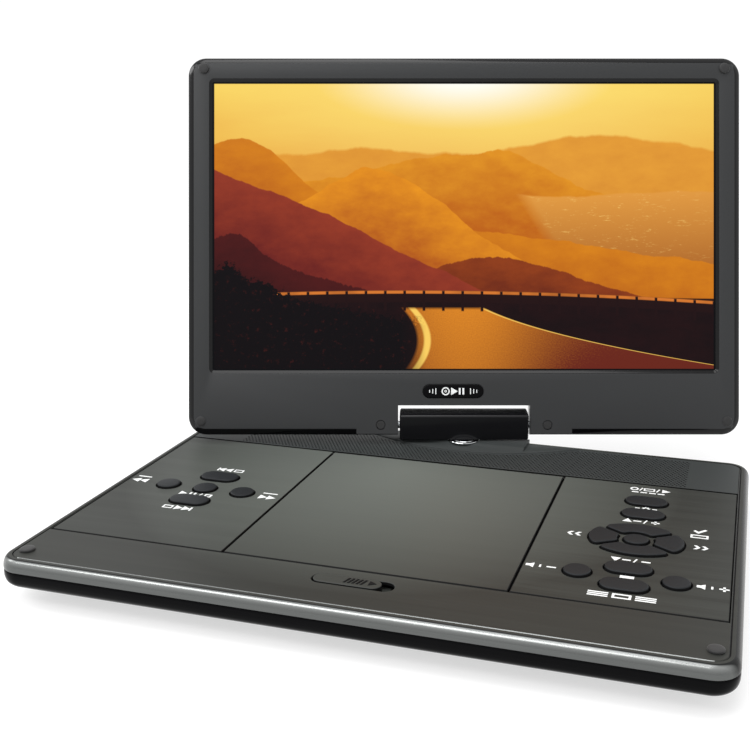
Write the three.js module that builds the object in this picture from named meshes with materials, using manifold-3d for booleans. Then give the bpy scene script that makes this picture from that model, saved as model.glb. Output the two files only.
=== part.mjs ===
// Portable disc player with a swivelling, tilting widescreen lid.
// Millimetres, +Z up, +X to the right as seen from the front, +Y to the rear.
// The origin is the middle of the base's flat underside; the feet stand below it.
import * as THREE from "three";
import { mergeVertices } from "three/addons/utils/BufferGeometryUtils.js";
import Module from "manifold-3d";

const wasm = await Module();
wasm.setup();

// ---------------------------------------------------------------- driving dimensions
const BODY_WIDTH = 338;
const BODY_DEPTH = 240;
const BODY_HEIGHT = 22;
const CORNER_RADIUS = 12;
const RIM_WIDTH = 5.5;
const RIM_HEIGHT = 4;
const WALL = 2.2;
const SEAM = 0.4;
const LOOSE = 0.3;
const DECK_TOP = BODY_HEIGHT;
const DECK_THICKNESS = 1.6;
const DECK_WIDTH = BODY_WIDTH - 2 * RIM_WIDTH;
const DECK_DEPTH = BODY_DEPTH - 2 * RIM_WIDTH;
const LEDGE = 2;

const DOOR_WIDTH = 139;
const DOOR_FRONT = -81.8;
const DOOR_REAR = 67.4;
const DOOR_THICKNESS = 2.2;
const DOOR_MIDDLE = (DOOR_FRONT + DOOR_REAR) / 2;
const DOOR_PIN_RADIUS = 0.6;

const WELL_RADIUS = 62.5;
const WELL_FLOOR = 13.6;
const HUB_RADIUS = 7.3;

const KEY_RISE = 1.3;
const KEY_FLANGE = 1.1;
const KEY_PITCH_Y = 17.8;
const KEY_PITCH_X = 22.25;
const ROUND_KEY = 12.6;
const LONG_KEY = 21.8;
const LONG_KEY_DEPTH = 12;
const KEYS_Y = -9.8;
const LEFT_KEYS_X = -115.3;
const RIGHT_KEYS_X = 117.4;
const PAD_HALF_WIDTH = 22.9;
const PAD_HALF_DEPTH = 18.2;
const PAD_STEP = 33.2;
const PAD_GAP = 2.4;
const PAD_SPLIT_ANGLE = THREE.MathUtils.degToRad(32);

const SLIDER_Y = -92.7;
const SLIDER_SLOT = 39.2;
const SLIDER_SLOT_DEPTH = 9.4;
const SLIDER_KNOB = 33.4;
const SLIDER_X = 1.1;
const SLIDER_CORNER_STEPS = 6;

const SWIVEL_Y = 108;
const SWIVEL_SHOWN = 17.2;
const TILT_SHOWN = 15.5;
const TILT_SETBACK = 3.5;
const TILT_HEIGHT = DECK_TOP + 10;
const PLATFORM_RISE = 2;
const APRON_FRONT = 90.8;
const APRON_RADIUS = 114.5;
const APRON_RISE = 0.5;
const SWIVEL_STEM = 6;
const SWIVEL_DISC = 10;
const SWIVEL_RECESS = 0.8;

const HOUSING_WIDTH = 78.8;
const HOUSING_DEPTH = 16;
const HOUSING_BOTTOM = DECK_TOP + 2.85;
const HOUSING_TOP = DECK_TOP + 18.4;
const SHAFT_RADIUS = 2.2;

const LID_HEIGHT = 231;
const LID_BELOW_AXIS = 6;
const LID_FRONT = 6.5;
const LID_BACK = -8;
const LID_SPLIT = 1.2;
const LID_CORNER = 11;
const SCREEN_WIDTH = 308;
const SCREEN_BOTTOM = 33.4;
const SCREEN_HEIGHT = 176.6;
const SCREEN_THICKNESS = 3.2;
const NOTCH_HALF_WIDTH = 40.4;
const NOTCH_TOP = 12;

// ---------------------------------------------------------------- materials
function finish(color, roughness, metalness) {
  return { color, roughness, metalness };
}
const GLOSS_BLACK = finish(0x101112, 0.15, 0.1);
const BRUSHED_GREY = finish(0x55565a, 0.45, 0.35);
const SATIN_GREY = finish(0x3a3b3d, 0.5, 0.1);
const KEY_BLACK = finish(0x26282a, 0.35, 0.1);
const RUBBER = finish(0x18191a, 0.85, 0);
const CHROME = finish(0xd8dadc, 0.08, 1);
const STEEL = finish(0xa2a5a8, 0.3, 1);
const WHITE_PLASTIC = finish(0xd9dad6, 0.5, 0);
const BOARD_GREEN = finish(0x1f5b3a, 0.5, 0);
const CELL_BLUE = finish(0x2b4f8e, 0.45, 0);
const GLASS = finish(0x1d1410, 0.08, 0);
const INNER_BLACK = finish(0x1b1c1e, 0.6, 0);

// ---------------------------------------------------------------- solids
function toSolid(geometry) {
  const bare = geometry.index ? geometry.clone() : geometry;
  bare.deleteAttribute("normal");
  bare.deleteAttribute("uv");
  const merged = mergeVertices(bare, 1e-4);
  return new wasm.Manifold(
    new wasm.Mesh({
      numProp: 3,
      vertProperties: new Float32Array(merged.attributes.position.array),
      triVerts: new Uint32Array(merged.index.array),
    })
  );
}

function box([x0, x1], [y0, y1], [z0, z1]) {
  const geometry = new THREE.BoxGeometry(x1 - x0, y1 - y0, z1 - z0);
  geometry.translate((x0 + x1) / 2, (y0 + y1) / 2, (z0 + z1) / 2);
  return toSolid(geometry);
}

function disc(x, y, radius, [z0, z1], segments = 20) {
  const geometry = new THREE.CylinderGeometry(radius, radius, z1 - z0, segments);
  geometry.rotateX(Math.PI / 2);
  geometry.translate(x, y, (z0 + z1) / 2);
  return toSolid(geometry);
}

function rodX([x0, x1], y, z, radius, segments = 16) {
  const geometry = new THREE.CylinderGeometry(radius, radius, x1 - x0, segments);
  geometry.rotateZ(-Math.PI / 2);
  geometry.translate((x0 + x1) / 2, y, z);
  return toSolid(geometry);
}

function rodY(x, [y0, y1], z, radius, segments = 16) {
  const geometry = new THREE.CylinderGeometry(radius, radius, y1 - y0, segments);
  geometry.translate(x, (y0 + y1) / 2, z);
  return toSolid(geometry);
}

// A profile of [y, z] points drawn along X.
function prismX(profile, [x0, x1]) {
  const shape = new THREE.Shape(profile.map(([y, z]) => new THREE.Vector2(y, z)));
  const geometry = new THREE.ExtrudeGeometry(shape, { depth: x1 - x0, bevelEnabled: false });
  const yzx = new THREE.Matrix4().makeBasis(
    new THREE.Vector3(0, 1, 0),
    new THREE.Vector3(0, 0, 1),
    new THREE.Vector3(1, 0, 0)
  );
  geometry.applyMatrix4(yzx);
  geometry.translate(x0, 0, 0);
  return toSolid(geometry);
}

function prism(shape, [z0, z1], curveSegments = 8) {
  const geometry = new THREE.ExtrudeGeometry(shape, { depth: z1 - z0, bevelEnabled: false, curveSegments });
  geometry.translate(0, 0, z0);
  return toSolid(geometry);
}

// A rounded rectangle's outline, counter-clockwise, with the same count of points at any size.
function outline({ halfX, halfY, radius, x = 0, y = 0 }, cornerSteps) {
  const points = [];
  const corners = [[1, 1], [-1, 1], [-1, -1], [1, -1]];
  corners.forEach(([sx, sy], corner) => {
    for (let step = 0; step <= cornerSteps; step++) {
      const angle = (corner + step / cornerSteps) * (Math.PI / 2);
      const px = x + sx * (halfX - radius) + radius * Math.cos(angle);
      const py = y + sy * (halfY - radius) + radius * Math.sin(angle);
      points.push([px, py]);
    }
  });
  return points;
}

// Skins a stack of outlines that share their count of points, and caps both ends.
function skin(rings) {
  const count = rings[0].length;
  const positions = rings.flat(2);
  const indices = [];
  for (let ring = 0; ring + 1 < rings.length; ring++) {
    for (let i = 0; i < count; i++) {
      const a = ring * count + i;
      const b = ring * count + ((i + 1) % count);
      indices.push(a, b, b + count, a, b + count, a + count);
    }
  }
  const last = (rings.length - 1) * count;
  for (let i = 1; i + 1 < count; i++) {
    indices.push(0, i + 1, i);
    indices.push(last, last + i, last + i + 1);
  }
  const geometry = new THREE.BufferGeometry();
  geometry.setAttribute("position", new THREE.Float32BufferAttribute(positions, 3));
  geometry.setIndex(indices);
  return toSolid(geometry);
}

// A rounded slab whose edge follows a profile of [inset, z] pairs from bottom to top.
function slab({ halfX, halfY, radius, x = 0, y = 0 }, profile, cornerSteps = 6) {
  const smallest = 0.4;
  const rings = profile.map(([inset, z]) => {
    const size = { halfX: halfX - inset, halfY: halfY - inset, x, y };
    size.radius = Math.max(radius - inset, smallest);
    return outline(size, cornerSteps).map(([px, py]) => [px, py, z]);
  });
  return skin(rings);
}

function pill(x, y, width, depth, profile, cornerSteps = 6) {
  const radius = Math.min(width, depth) / 2 - 0.01;
  return slab({ halfX: width / 2, halfY: depth / 2, radius, x, y }, profile, cornerSteps);
}

function union(first, ...others) {
  return others.reduce((whole, piece) => whole.add(piece), first);
}

function cut(first, ...others) {
  return others.reduce((whole, piece) => whole.subtract(piece), first);
}

function addPart(group, name, solid, look) {
  const { vertProperties, triVerts } = solid.getMesh();
  const geometry = new THREE.BufferGeometry();
  geometry.setAttribute("position", new THREE.Float32BufferAttribute(vertProperties, 3));
  geometry.setIndex(Array.from(triVerts));
  geometry.computeVertexNormals();
  const mesh = new THREE.Mesh(geometry, new THREE.MeshStandardMaterial(look));
  mesh.name = name;
  group.add(mesh);
  return mesh;
}

// ---------------------------------------------------------------- base: shells
const player = new THREE.Group();
const BODY = { halfX: BODY_WIDTH / 2, halfY: BODY_DEPTH / 2, radius: CORNER_RADIUS };
const RIM_BOTTOM = DECK_TOP - RIM_HEIGHT;
const SHELL_TOP = RIM_BOTTOM - LOOSE;
const DECK_SEAT = DECK_TOP - DECK_THICKNESS - LOOSE;
// The flat field in the middle of the underside, with a shallow groove round it.
const FIELD = { x: [-50, 50], y: [-34, 26], groove: 0.8, depth: 0.4 };
// The lower shell's edge: a long shallow belly, a rounded turn and an upright side.
const BELLY = [[24, 0], [20, 0.9], [12, 3.7], [5, 6.8], [2.2, 8.4], [0.6, 10.3], [0, 12.6]];
// The rim's edge: an upright flank and a rounded shoulder that meets the deck flat.
const RIM_STEPS = 5;
const SHOULDER = 2;
const SHOULDER_CURVE = Array.from({ length: RIM_STEPS + 1 }, (_, step) => {
  const angle = (step / RIM_STEPS) * (Math.PI / 2);
  return [SHOULDER * (1 - Math.cos(angle)), DECK_TOP - SHOULDER + SHOULDER * Math.sin(angle)];
});
const RIM_CURVE = [[0, RIM_BOTTOM], ...SHOULDER_CURVE];

const LEFT_PANEL = [-DECK_WIDTH / 2 + 0.2, -DOOR_WIDTH / 2 - SEAM / 2];
const RIGHT_PANEL = [DOOR_WIDTH / 2 + SEAM / 2, DECK_WIDTH / 2 - 0.2];
const PANEL_Y = [DOOR_FRONT + SEAM / 2, DOOR_REAR - SEAM / 2];
const GRILLE_X = [LEFT_PANEL[0], RIGHT_PANEL[1]];
const GRILLE_Y = [DOOR_REAR + SEAM / 2, DECK_DEPTH / 2 - 0.2];
const GRILLE_WINDOW_X = [-150, 150];
const GRILLE_CORNER = CORNER_RADIUS - RIM_WIDTH - SEAM / 2;
const PLATFORM_HALF_WIDTH = 39;
const PLATFORM_Y = [98.2, 119.2];

// Sockets in the base's sides: side is +1 on the right and -1 on the left.
const SOCKET_Z = 12.8;
const SOCKET_DEPTH = 13;
const SOCKET_FACE = 1;
const WINDOW_DEPTH = 9;
const SOCKETS = [
  { name: "dc_jack", side: 1, y: 84, width: 9, height: 7 },
  { name: "av_jack", side: 1, y: 66, width: 8, height: 7 },
  { name: "headphone_jack", side: -1, y: 84, width: 8, height: 7 },
  { name: "usb_port", side: -1, y: 60, width: 15, height: 6.6 },
  { name: "card_slot", side: -1, y: 28, width: 27, height: 4.4 },
];
const SWITCH = { y: 33, z: 15.2, slot: 13, knob: 8.4, height: 2.6 };

function grow([low, high], by) {
  return [low - by, high + by];
}

function around(middle, size) {
  return [middle - size / 2, middle + size / 2];
}

// The X range from one depth inside the base's side face to a little way past it.
function sideRange(side, inward, outward) {
  const inner = side * (BODY_WIDTH / 2 - inward);
  const outer = side * (BODY_WIDTH / 2 + outward);
  return [Math.min(inner, outer), Math.max(inner, outer)];
}

function makeBottomShell() {
  const outside = [...BELLY, [0, SHELL_TOP - 1.5], [0.4, SHELL_TOP]];
  const inside = BELLY.slice(1).map(([inset, z]) => [inset + WALL, z + WALL]);
  inside.push([WALL, SHELL_TOP + 1]);
  const shell = cut(slab(BODY, outside, 5), slab(BODY, inside, 5));
  const windows = SOCKETS.map(({ side, y, width, height }) =>
    box(sideRange(side, WINDOW_DEPTH, 2), around(y, width + 2 * LOOSE), around(SOCKET_Z, height + 2 * LOOSE))
  );
  const switchSlot = around(SWITCH.z, SWITCH.height + 2 * LOOSE);
  windows.push(box(sideRange(1, WINDOW_DEPTH, 2), around(SWITCH.y, SWITCH.slot), switchSlot));
  const groove = cut(
    box(FIELD.x, FIELD.y, [-1, FIELD.depth]),
    box(grow(FIELD.x, -FIELD.groove), grow(FIELD.y, -FIELD.groove), [-2, FIELD.depth + 1])
  );
  return cut(shell, groove, ...windows);
}

// The apron's outline: the part of a large circle that lies in front of the strip's rear edge.
function apronOutline(margin) {
  const radius = APRON_RADIUS + margin;
  const middle = APRON_FRONT + APRON_RADIUS;
  const rear = GRILLE_Y[1] + margin;
  const half = Math.acos((middle - rear) / radius);
  const shape = new THREE.Shape();
  shape.absarc(0, middle, radius, -Math.PI / 2 - half, -Math.PI / 2 + half, false);
  return shape;
}

// The speaker strip's outline; its rear corners follow the rim.
function grilleOutline(margin) {
  const [left, right] = grow(GRILLE_X, margin);
  const [front, rear] = grow(GRILLE_Y, margin);
  const radius = GRILLE_CORNER + margin;
  const shape = new THREE.Shape();
  shape.moveTo(left, front);
  shape.lineTo(right, front);
  shape.absarc(right - radius, rear - radius, radius, 0, Math.PI / 2, false);
  shape.absarc(left + radius, rear - radius, radius, Math.PI / 2, Math.PI, false);
  return shape;
}

function makeTopShell() {
  const hollow = [[WALL, RIM_BOTTOM - 1], [WALL, RIM_BOTTOM + 0.6], [RIM_WIDTH, DECK_TOP - DECK_THICKNESS]];
  const plate = [[WALL + 0.6, RIM_BOTTOM + 0.4], [RIM_WIDTH - 0.6, DECK_TOP - DECK_THICKNESS + 0.4]];
  const seat = [DECK_SEAT, DECK_TOP + 1];
  const through = [RIM_BOTTOM - 2, DECK_TOP + 1];
  const doorway = [-DOOR_WIDTH / 2, DOOR_WIDTH / 2];
  const shell = union(cut(slab(BODY, RIM_CURVE, 5), slab(BODY, hollow, 5)), slab(BODY, plate, 5));
  return cut(
    shell,
    box(grow(LEFT_PANEL, SEAM / 2), grow(PANEL_Y, SEAM / 2), seat),
    box(grow(RIGHT_PANEL, SEAM / 2), grow(PANEL_Y, SEAM / 2), seat),
    prism(grilleOutline(SEAM / 2), seat, 5),
    box(doorway, [DOOR_FRONT, DOOR_REAR], through),
    box(grow(doorway, 4), [DOOR_FRONT, DOOR_REAR], [RIM_BOTTOM - 2, DECK_TOP - DECK_THICKNESS]),
    box(grow(LEFT_PANEL, -2 * LEDGE), grow(PANEL_Y, -2 * LEDGE), through),
    box(grow(RIGHT_PANEL, -2 * LEDGE), grow(PANEL_Y, -2 * LEDGE), through),
    box(GRILLE_WINDOW_X, grow(GRILLE_Y, -2 * LEDGE), through),
    box([-PLATFORM_HALF_WIDTH - LOOSE, PLATFORM_HALF_WIDTH + LOOSE], grow(PLATFORM_Y, LOOSE), seat),
    disc(0, SWIVEL_Y, SWIVEL_STEM + LOOSE, through),
    pill(SLIDER_X, SLIDER_Y, SLIDER_SLOT, SLIDER_SLOT_DEPTH, [[0, RIM_BOTTOM - 2], [0, DECK_TOP + 1]])
  );
}

function makeGrille() {
  const plate = prism(grilleOutline(0), [DECK_TOP - DECK_THICKNESS, DECK_TOP], 5);
  return cut(plate, prism(apronOutline(LOOSE), [DECK_SEAT, DECK_TOP + 1], 12));
}

function makePlatform() {
  const top = DECK_TOP + PLATFORM_RISE;
  const low = DECK_TOP - DECK_THICKNESS;
  const [front, rear] = PLATFORM_Y;
  const apron = prism(apronOutline(0), [low, DECK_TOP + APRON_RISE], 12);
  const ramp = [[front, low], [rear, low], [rear, top - 0.6]];
  ramp.push([rear - 0.8, top], [front + 4, top], [front, DECK_TOP + LOOSE]);
  return cut(
    union(apron, prismX(ramp, [-PLATFORM_HALF_WIDTH, PLATFORM_HALF_WIDTH])),
    disc(0, SWIVEL_Y, SWIVEL_DISC + LOOSE, [top - SWIVEL_RECESS, top + 1]),
    disc(0, SWIVEL_Y, SWIVEL_STEM + LOOSE, [low - 1, top])
  );
}

addPart(player, "bottom_shell", makeBottomShell(), GLOSS_BLACK);
addPart(player, "top_shell", makeTopShell(), BRUSHED_GREY);
addPart(player, "speaker_grille", makeGrille(), SATIN_GREY);
addPart(player, "hinge_platform", makePlatform(), SATIN_GREY);

const FOOT = { radius: 7, x: 128, y: 78, height: 2 };
const BUMPER = { radius: 3.6, x: 158.8, y: -106.6, rise: 1.7 };
for (const [where, sx] of [["left", -1], ["right", 1]]) {
  for (const [end, sy] of [["front", -1], ["rear", 1]]) {
    const foot = disc(sx * FOOT.x, sy * FOOT.y, FOOT.radius, [-FOOT.height, -LOOSE], 24);
    addPart(player, `foot_${end}_${where}`, foot, RUBBER);
  }
  const bumper = disc(sx * BUMPER.x, BUMPER.y, BUMPER.radius, [DECK_TOP + LOOSE, DECK_TOP + BUMPER.rise], 24);
  addPart(player, `base_bumper_${where}`, bumper, RUBBER);
}

// ---------------------------------------------------------------- base: keys and their panels
const MIDDLE_KEYS = RIGHT_KEYS_X;
const LOW_ROW = KEYS_Y - PAD_STEP;
const HIGH_ROW = KEYS_Y + PAD_STEP;
const round = { width: ROUND_KEY, depth: ROUND_KEY };
const long = { width: LONG_KEY, depth: LONG_KEY_DEPTH };
const LEFT_KEYS = [
  { name: "key_previous", x: LEFT_KEYS_X, y: KEYS_Y + KEY_PITCH_Y, ...long },
  { name: "key_rewind", x: LEFT_KEYS_X - KEY_PITCH_X, y: KEYS_Y, ...round },
  { name: "key_play_pause", x: LEFT_KEYS_X, y: KEYS_Y, ...round },
  { name: "key_fast_forward", x: LEFT_KEYS_X + KEY_PITCH_X, y: KEYS_Y, ...round },
  { name: "key_next", x: LEFT_KEYS_X, y: KEYS_Y - KEY_PITCH_Y, ...long },
];
const RIGHT_KEYS = [
  { name: "key_mode", x: MIDDLE_KEYS, y: HIGH_ROW + KEY_PITCH_Y, ...long },
  { name: "key_settings", x: MIDDLE_KEYS, y: HIGH_ROW, ...long },
  { name: "key_ok", x: MIDDLE_KEYS, y: KEYS_Y, width: 12, depth: 11 },
  { name: "key_stop", x: MIDDLE_KEYS, y: LOW_ROW, ...long },
  { name: "key_menu", x: MIDDLE_KEYS, y: LOW_ROW - KEY_PITCH_Y, ...long },
  { name: "key_volume_down", x: MIDDLE_KEYS - KEY_PITCH_X, y: LOW_ROW - KEY_PITCH_Y / 2, ...round },
  { name: "key_volume_up", x: MIDDLE_KEYS + KEY_PITCH_X, y: LOW_ROW - KEY_PITCH_Y / 2, ...round },
];
// The four direction keys are quarters of an oval ring; turn is the quarter's middle angle.
const PAD_KEYS = [
  { name: "key_right", turn: 0, half: PAD_SPLIT_ANGLE },
  { name: "key_up", turn: Math.PI / 2, half: Math.PI / 2 - PAD_SPLIT_ANGLE },
  { name: "key_left", turn: Math.PI, half: PAD_SPLIT_ANGLE },
  { name: "key_down", turn: -Math.PI / 2, half: Math.PI / 2 - PAD_SPLIT_ANGLE },
];
const PAD_INNER_WIDTH = 9.2;
const PAD_INNER_DEPTH = 8.4;
const PAD_STEPS = 6;
const KEY_SIDE_GAP = 0.35;
const KEY_TOP = DECK_TOP + KEY_RISE;
const FLANGE_TOP = DECK_SEAT;
const FLANGE_BOTTOM = FLANGE_TOP - KEY_FLANGE;
const FLANGE_WIDER = 0.9;

// The angle at which an oval of half sizes a and b lies a given distance past a ray from its centre.
function ovalAngle(a, b, ray, past) {
  const across = Math.hypot(a * Math.sin(ray), b * Math.cos(ray));
  return Math.atan2(a * Math.sin(ray), b * Math.cos(ray)) + Math.asin(past / across);
}

function padOutline({ turn, half }, inset) {
  const gap = PAD_GAP / 2 + inset;
  const points = [];
  const sides = [
    { a: PAD_HALF_WIDTH - inset, b: PAD_HALF_DEPTH - inset, order: 1 },
    { a: PAD_INNER_WIDTH + inset, b: PAD_INNER_DEPTH + inset, order: -1 },
  ];
  for (const { a, b, order } of sides) {
    const start = ovalAngle(a, b, turn - half, gap);
    let end = ovalAngle(a, b, turn + half, -gap);
    if (end < start) {
      end += 2 * Math.PI;
    }
    for (let step = 0; step <= PAD_STEPS; step++) {
      const along = order > 0 ? step / PAD_STEPS : 1 - step / PAD_STEPS;
      const angle = start + (end - start) * along;
      points.push([RIGHT_KEYS_X + a * Math.cos(angle), KEYS_Y + b * Math.sin(angle)]);
    }
  }
  return points;
}

function padPrism(key, inset, [z0, z1]) {
  const shape = new THREE.Shape(padOutline(key, inset).map(([x, y]) => new THREE.Vector2(x, y)));
  return prism(shape, [z0, z1]);
}

function makePadKey(key) {
  const bevel = 0.4;
  return union(
    padPrism(key, 0, [FLANGE_BOTTOM, KEY_TOP - bevel]),
    padPrism(key, bevel, [KEY_TOP - bevel - 0.1, KEY_TOP]),
    padPrism(key, -FLANGE_WIDER, [FLANGE_BOTTOM, FLANGE_TOP])
  );
}

function makeKey({ x, y, width, depth }) {
  const cap = [[0, FLANGE_BOTTOM], [0, KEY_TOP - 0.6], [0.25, KEY_TOP - 0.15], [0.8, KEY_TOP]];
  const flange = [[0, FLANGE_BOTTOM], [0, FLANGE_TOP]];
  const wide = 2 * FLANGE_WIDER;
  return union(pill(x, y, width, depth, cap, 4), pill(x, y, width + wide, depth + wide, flange, 2));
}

function keyHole({ x, y, width, depth }) {
  const wide = 2 * KEY_SIDE_GAP;
  return pill(x, y, width + wide, depth + wide, [[0, FLANGE_BOTTOM], [0, KEY_TOP]], 4);
}

const BOARD_TOP = FLANGE_BOTTOM - 1.2;
const BOARD_THICKNESS = 1.6;
const POST_RADIUS = 2.2;

function makePanel([x0, x1], keys, padKeys, postPlaces) {
  const plate = box([x0, x1], PANEL_Y, [DECK_TOP - DECK_THICKNESS, DECK_TOP]);
  const posts = postPlaces.map(([x, y]) => disc(x, y, POST_RADIUS, [BOARD_TOP + LOOSE, DECK_TOP - 1], 8));
  const holes = keys.map(keyHole);
  holes.push(...padKeys.map((key) => padPrism(key, -KEY_SIDE_GAP, [FLANGE_BOTTOM, KEY_TOP])));
  const pinX = x0 < 0 ? [x1 - 3, x1 + 1] : [x0 - 1, x0 + 3];
  holes.push(box(pinX, [DOOR_REAR - 3, DOOR_REAR], [DECK_SEAT, DOOR_AXIS.z + DOOR_PIN_RADIUS + LOOSE]));
  return cut(union(plate, ...posts), ...holes);
}

function makeKeyBoard([x0, x1], [y0, y1], keys) {
  const board = box([x0, x1], [y0, y1], [BOARD_TOP - BOARD_THICKNESS, BOARD_TOP]);
  const domes = keys.map(({ x, y }) => disc(x, y, 2.5, [BOARD_TOP - 0.5, BOARD_TOP + 0.3], 8));
  return union(board, ...domes);
}

const DOOR_AXIS = { y: DOOR_REAR - SEAM - 1.1, z: DECK_TOP - 1.1 };
const LEFT_POSTS = [[-152, 26], [-79, 26], [-152, -46], [-79, -46]];
const RIGHT_POSTS = [[79, 50], [155, 50], [79, -70], [155, -70]];
addPart(player, "left_key_panel", makePanel(LEFT_PANEL, LEFT_KEYS, [], LEFT_POSTS), BRUSHED_GREY);
addPart(player, "right_key_panel", makePanel(RIGHT_PANEL, RIGHT_KEYS, PAD_KEYS, RIGHT_POSTS), BRUSHED_GREY);
addPart(player, "left_key_board", makeKeyBoard([-156, -75], [-50, 30], LEFT_KEYS), BOARD_GREEN);
addPart(player, "right_key_board", makeKeyBoard([75, 158.5], [-74, 54], RIGHT_KEYS), BOARD_GREEN);
for (const key of [...LEFT_KEYS, ...RIGHT_KEYS]) {
  addPart(player, key.name, makeKey(key), KEY_BLACK);
}
for (const key of PAD_KEYS) {
  addPart(player, key.name, makePadKey(key), KEY_BLACK);
}

// ---------------------------------------------------------------- base: disc door and its slider
function makeDoor() {
  const halfWidth = DOOR_WIDTH / 2 - SEAM;
  const under = DECK_TOP - DOOR_THICKNESS;
  const front = DOOR_FRONT + SEAM;
  const { y, z } = DOOR_AXIS;
  const radius = DECK_TOP - z;
  // The rear edge is round about the hinge axis, so it turns inside its seam.
  const profile = [[front, under], [y, under], [y + radius * 0.7, z - radius * 0.7]];
  for (let step = 0; step <= 4; step++) {
    const angle = (step / 4) * (Math.PI / 2);
    profile.push([y + radius * Math.cos(angle), z + radius * Math.sin(angle)]);
  }
  profile.push([front, DECK_TOP]);
  const plate = prismX(profile, [-halfWidth, halfWidth]);
  const pins = rodX([-halfWidth - 2.2, halfWidth + 2.2], y, z, DOOR_PIN_RADIUS, 8);
  const catchTab = box([-30, -24], [front, front + 2.4], [under - 2.6, under + 0.5]);
  return union(plate, pins, catchTab);
}

function makeSlider() {
  const knobX = SLIDER_X - SLIDER_SLOT / 2 + SLIDER_KNOB / 2 + LOOSE;
  const knobTop = DECK_TOP + 0.5;
  const plateTop = RIM_BOTTOM + 0.1;
  const profile = [[0.5, plateTop - 1.5], [0.5, DECK_TOP - 0.2], [0.7, knobTop - 0.2], [1.1, knobTop]];
  const knob = pill(knobX, SLIDER_Y, SLIDER_KNOB, SLIDER_SLOT_DEPTH, profile, SLIDER_CORNER_STEPS);
  const plateLow = plateTop - 1.6;
  const plate = box([knobX - 21, knobX + 19], around(SLIDER_Y, 14), [plateLow, plateTop]);
  const hook = box([knobX - 21, knobX - 17], [SLIDER_Y + 6, DOOR_FRONT + 1.6], [plateLow, plateTop - 0.2]);
  return union(knob, plate, hook);
}

addPart(player, "disc_door", makeDoor(), SATIN_GREY);
addPart(player, "open_slider", makeSlider(), BRUSHED_GREY);

// ---------------------------------------------------------------- base: disc drive
const DECK_HALF_WIDTH = DOOR_WIDTH / 2 + 3.6;
const DRIVE_TOP = DECK_TOP - DOOR_THICKNESS - LOOSE;
const DRIVE_FLOOR = WELL_FLOOR - 1.2;
const HUB_HOLE = 15;
const RAIL = { x: 20, z: 8.5, radius: 1.5 };
const RAIL_Y = [DOOR_MIDDLE - 71, DOOR_MIDDLE - 11];
const SLED_Y = [DOOR_MIDDLE - 36, DOOR_MIDDLE - 16.6];

function makeDriveDeck() {
  const width = [-DECK_HALF_WIDTH, DECK_HALF_WIDTH];
  const depth = [DOOR_FRONT + 4.4, DOOR_REAR - LOOSE];
  const under = cut(
    box(grow(width, -1.8), grow(depth, -1.8), [DRIVE_FLOOR - 1, DRIVE_TOP - 1.8]),
    disc(0, DOOR_MIDDLE, WELL_RADIUS + 1.6, [DRIVE_FLOOR - 2, DRIVE_TOP], 40)
  );
  const bosses = [-RAIL.x, RAIL.x].flatMap((x) => [
    box(around(x, 7), [RAIL_Y[0] - 1, RAIL_Y[0] + 3], [5.6, DRIVE_FLOOR + 0.5]),
    box(around(x, 7), [RAIL_Y[1] - 4.6, RAIL_Y[1] + 1], [5.6, DRIVE_FLOOR + 0.5]),
  ]);
  const bores = [-RAIL.x, RAIL.x].map((x) => rodY(x, grow(RAIL_Y, LOOSE), RAIL.z, RAIL.radius + LOOSE));
  const dimple = [WELL_FLOOR + 1.6, DRIVE_TOP + 1];
  const fingers = [-50, 50].map((x) => disc(x, DOOR_MIDDLE - 50, 15, dimple, 20));
  return cut(
    union(cut(box(width, depth, [DRIVE_FLOOR, DRIVE_TOP]), under), ...bosses),
    disc(0, DOOR_MIDDLE, WELL_RADIUS, [WELL_FLOOR, DRIVE_TOP + 1], 40),
    disc(0, DOOR_MIDDLE, HUB_HOLE, [DRIVE_FLOOR - 1, DRIVE_TOP]),
    box([-12, 12], [DOOR_MIDDLE - 62, DOOR_MIDDLE - 12], [DRIVE_FLOOR - 1, WELL_FLOOR + 1]),
    ...bores,
    ...fingers
  );
}

function makeHub() {
  const clamp = [[0, 14], [0, 17], [0.5, 17.9], [2.6, 18.6]];
  const nose = { halfX: HUB_RADIUS, halfY: HUB_RADIUS, radius: HUB_RADIUS - 0.01, x: 0, y: DOOR_MIDDLE };
  const balls = [0, 1, 2].map((third) => {
    const angle = (third / 3) * 2 * Math.PI;
    const ball = new THREE.SphereGeometry(1.2, 6, 4);
    ball.translate(6.4 * Math.cos(angle), DOOR_MIDDLE + 6.4 * Math.sin(angle), 16.4);
    return toSolid(ball);
  });
  return union(
    disc(0, DOOR_MIDDLE, 14, [12.9, 14.4]),
    slab(nose, clamp, 6),
    disc(0, DOOR_MIDDLE, 1.2, [6, 14], 12),
    ...balls
  );
}

function makeMotor() {
  const can = disc(0, DOOR_MIDDLE, 11, [3.4, 12], 32);
  const flange = box([-15, 15], around(DOOR_MIDDLE, 21), [10.6, 12]);
  return cut(union(can, flange), disc(0, DOOR_MIDDLE, 1.6, [5, 13], 12));
}

function makeSled() {
  const frame = box([-25, 25], SLED_Y, [5.6, 11.2]);
  const tower = box([-8, 8], [DOOR_MIDDLE - 31, DOOR_MIDDLE - 21], [11, 13.2]);
  const bores = [-RAIL.x, RAIL.x].map((x) => rodY(x, grow(SLED_Y, 1), RAIL.z, RAIL.radius + 0.1));
  return cut(union(frame, tower), ...bores);
}

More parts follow.
